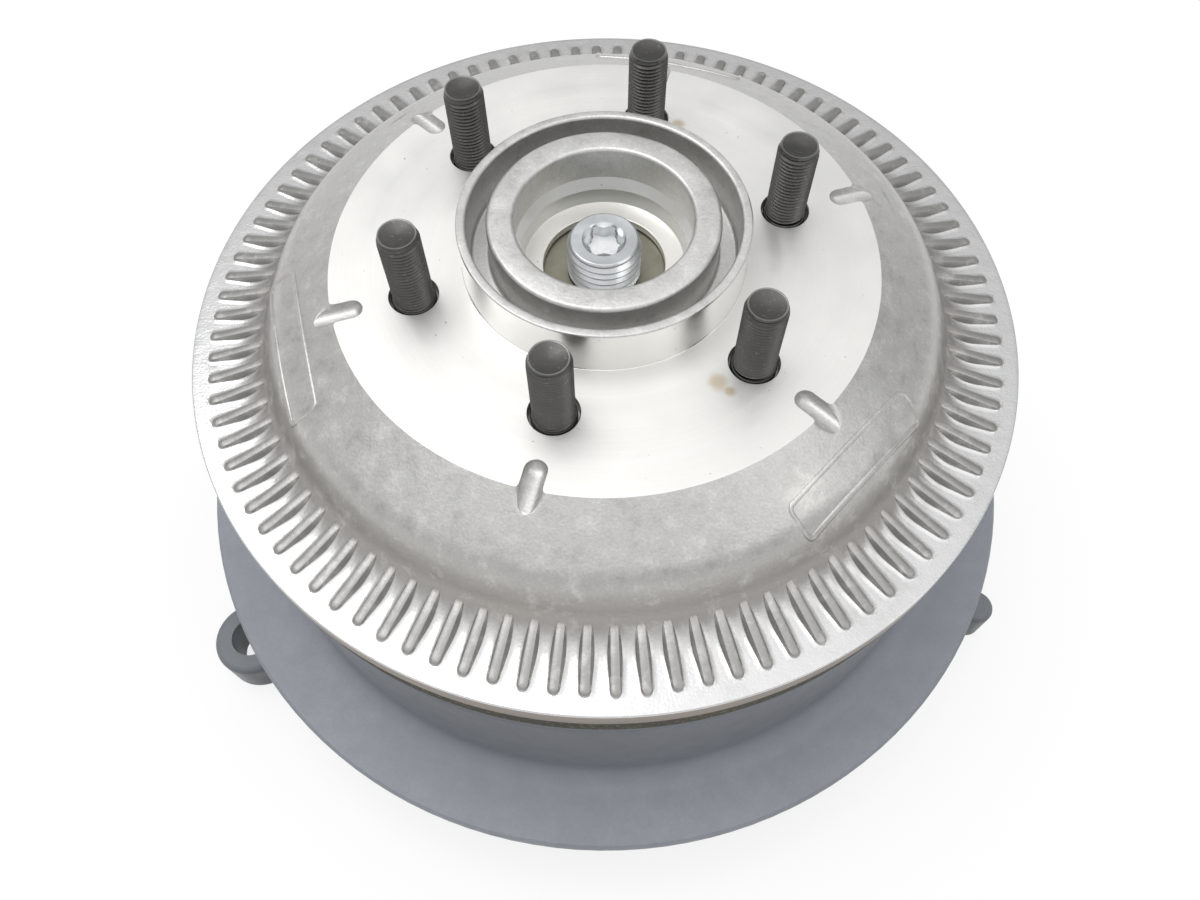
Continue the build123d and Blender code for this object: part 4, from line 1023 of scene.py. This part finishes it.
for radius, lobed, deep in SOCKET:
    ring = []
    for k in range(SOCKET_SIDES):
        a = 2 * pi * k / SOCKET_SIDES
        r = radius + lobed * (LOBE_MEAN_R + LOBE_WAVE * cos(LOBES * a))
        ring.append(stub.verts.new((r * cos(a), r * sin(a), CENTRE_TOP - deep)))
    rings.append(ring)
for a, b in zip(rings, rings[1:]):
    for k in range(SOCKET_SIDES):
        n = (k + 1) % SOCKET_SIDES
        f = stub.faces.new((a[k], a[n], b[n], b[k]))
        f.material_index = 1 if b is rings[-1] else 0
f = stub.faces.new(rings[-1])
f.material_index = 1
finish_mesh("threaded_centre_stud", stub, (SLOT_MATERIALS["bright_zinc"], SOCKET_FLOOR),
            node="centre_stud", body="pulley")

# Cone spring between the pulley's web and the piston, as one fixed piece
SPRING_LOW, SPRING_HIGH = 70.0, 84.0
SPRING_IN, SPRING_OUT = 60.5, 88.0
SPRING_T, SPRING_LAND, SPRING_EDGE = 2.8, 2.0, 0.4
SPRING_SIDES = 128
spring = bmesh.new()
lathe(spring, rounded([
    (SPRING_OUT, SPRING_LOW, SPRING_EDGE, ""),
    (SPRING_OUT, SPRING_LOW + SPRING_T, SPRING_EDGE, ""),
    (SPRING_IN + SPRING_LAND, SPRING_HIGH, SPRING_EDGE, ""),
    (SPRING_IN, SPRING_HIGH, SPRING_EDGE, ""),
    (SPRING_IN, SPRING_HIGH - SPRING_T, SPRING_EDGE, ""),
    (SPRING_OUT - SPRING_LAND, SPRING_LOW, SPRING_EDGE, ""),
]), SPRING_SIDES)
cone_spring = finish_mesh("cone_spring", spring, (SLOT_MATERIALS["spring_steel"],), node="belleville_spring")
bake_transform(cone_spring)

# Floor: white for the rays that see it, and dim for the light that it throws back
FLOOR_HALF = 6.0
FLOOR_DARK, FLOOR_LIGHT = (0.215, 0.215, 0.218), (0.225, 0.225, 0.225)
FLOOR_GLOW = 0.79
corners = [(x * FLOOR_HALF, y * FLOOR_HALF, 0) for x, y in ((-1, -1), (1, -1), (1, 1), (-1, 1))]
floor_mesh = bpy.data.meshes.new("floor")
floor_mesh.from_pydata(corners, [], [(0, 1, 2, 3)])
floor = bpy.data.objects.new("floor", floor_mesh)
bpy.context.scene.collection.objects.link(floor)
white = Mat("floor", (0.22, 0.22, 0.22), rough=0.9, metal=0.0, specular=0.1)
white.out("Base Color", white.mix(white.span(white.noise(3.0), 0.3, 0.7), FLOOR_DARK, FLOOR_LIGHT))
floor_mesh.materials.append(white.m)


def seen_rays(tree):
    """1 for camera, glossy and transmission rays, 0 for the rest."""
    path = tree.nodes.new("ShaderNodeLightPath")
    value = path.outputs["Is Camera Ray"]
    for name in ("Is Glossy Ray", "Is Transmission Ray"):
        node = tree.nodes.new("ShaderNodeMath")
        node.operation = "MAXIMUM"
        tree.links.new(value, node.inputs[0])
        tree.links.new(path.outputs[name], node.inputs[1])
        value = node.outputs[0]
    return value


white.set("Emission Color", (1, 1, 1, 1))
white.out("Emission Strength", white.math("MULTIPLY", seen_rays(white.nt), FLOOR_GLOW))

# World: a bright ceiling over a dimmer horizon
LEFT_STRENGTH, RIGHT_STRENGTH = 1.10, 0.90
# Sky of the rays that see it. From and to are the sine of a ray's elevation.
SEEN_LOW, SEEN_HIGH = 0.48, 1.28
SEEN_FROM, SEEN_POWER = 0.4, 1.6
FRONT_GLOW, FRONT_FROM, FRONT_TO = 0.20, 0.2, 0.8
HORIZON_GLOW, HORIZON_TO = 0.30, 0.35
# Sky of the diffuse light
SOFT_LOW, SOFT_HIGH, SOFT_POWER = 0.05, 2.05, 3.0
world = bpy.data.worlds.new("studio")
bpy.context.scene.world = world
world.use_nodes = True
tree = world.node_tree
back = tree.nodes["Background"]
back.inputs["Color"].default_value = (1, 1, 1, 1)
direction = tree.nodes.new("ShaderNodeSeparateXYZ")
tree.links.new(tree.nodes.new("ShaderNodeTexCoord").outputs["Generated"], direction.inputs[0])


def world_range(value, low, high, to_low, to_high):
    node = tree.nodes.new("ShaderNodeMapRange")
    tree.links.new(value, node.inputs[0])
    for i, v in enumerate((low, high, to_low, to_high)):
        node.inputs[1 + i].default_value = v
    return node.outputs[0]


def world_math(op, a, b):
    node = tree.nodes.new("ShaderNodeMath")
    node.operation = op
    tree.links.new(a, node.inputs[0])
    if isinstance(b, float):
        node.inputs[1].default_value = b
    else:
        tree.links.new(b, node.inputs[1])
    return node.outputs[0]


height = direction.outputs[2]
side = world_range(direction.outputs[0], -1.0, 1.0, LEFT_STRENGTH, RIGHT_STRENGTH)
seen_rise = world_math("POWER", world_range(height, SEEN_FROM, 1.0, 0.0, 1.0), SEEN_POWER)
seen_sky = world_range(seen_rise, 0.0, 1.0, SEEN_LOW, SEEN_HIGH)
front_low = world_math("MULTIPLY", world_range(direction.outputs[1], 0.0, -1.0, 0.0, FRONT_GLOW),
                       world_range(height, FRONT_FROM, FRONT_TO, 1.0, 0.0))
seen_sky = world_math("ADD", seen_sky, front_low)
seen_sky = world_math("ADD", seen_sky, world_range(height, 0.0, HORIZON_TO, HORIZON_GLOW, 0.0))
soft_rise = world_math("POWER", world_range(height, 0.0, 1.0, 0.0, 1.0), SOFT_POWER)
soft_sky = world_range(soft_rise, 0.0, 1.0, SOFT_LOW, SOFT_HIGH)
seen = seen_rays(tree)
mixed = world_math("ADD", world_math("MULTIPLY", seen_sky, seen),
                   world_math("MULTIPLY", soft_sky, world_range(seen, 0.0, 1.0, 1.0, 0.0)))
tree.links.new(world_math("MULTIPLY", mixed, side), back.inputs["Strength"])


# Lamps
def area(name, place, aim, width, power):
    """A round lamp. Places and width are in metres, power in watts."""
    data = bpy.data.lights.new(name, "AREA")
    data.shape = "DISK"
    data.size = width
    data.energy = power
    lamp = bpy.data.objects.new(name, data)
    lamp.location = place
    lamp.rotation_euler = (Vector(aim) - Vector(place)).to_track_quat("-Z", "Y").to_euler()
    bpy.context.scene.collection.objects.link(lamp)


area("key", place=(-0.55, 0.25, 1.5), aim=(0, 0, 0.1), width=0.9, power=4.3)
area("fill", place=(1.0, -0.38, 1.15), aim=(0, 0, 0.1), width=0.8, power=1.3)

# Camera, from the circles of the photograph: elevation, roll, focal length and offset of the axis in pixels
ELEVATION, ROLL = radians(52.694), radians(-0.1716)
FOCAL, OFFSET_X, OFFSET_Y = 955.93, 4.66, -141.74
PHOTO_WIDTH = 1200.0
DISTANCE = 0.31005
forward = Vector((0, cos(ELEVATION), -sin(ELEVATION)))
right = Vector((1, 0, 0))
up = Vector((0, sin(ELEVATION), cos(ELEVATION)))
pan = atan2(OFFSET_X, FOCAL)
tilt = atan2(OFFSET_Y, hypot(FOCAL, OFFSET_X))
panned_right = right * cos(pan) + forward * sin(pan)
panned_forward = forward * cos(pan) - right * sin(pan)
tilted_up = up * cos(tilt) - panned_forward * sin(tilt)
look = up * sin(tilt) + panned_forward * cos(tilt)
camera_x = panned_right * cos(ROLL) + tilted_up * sin(ROLL)
camera_y = tilted_up * cos(ROLL) - panned_right * sin(ROLL)
camera_data = bpy.data.cameras.new("camera")
camera_data.sensor_width = 36.0
camera_data.sensor_fit = "HORIZONTAL"
camera_data.lens = camera_data.sensor_width * FOCAL / PHOTO_WIDTH
camera_data.clip_start = 0.005
camera_data.clip_end = 30.0
camera = bpy.data.objects.new("camera", camera_data)
pose = Matrix((camera_x, camera_y, -look)).transposed().to_4x4()
pose.translation = Vector((0, 0, RIM_TOP * MM)) - DISTANCE * forward
camera.matrix_world = pose
bpy.context.scene.collection.objects.link(camera)
bpy.context.scene.camera = camera
bpy.context.scene.view_settings.view_transform = "Standard"
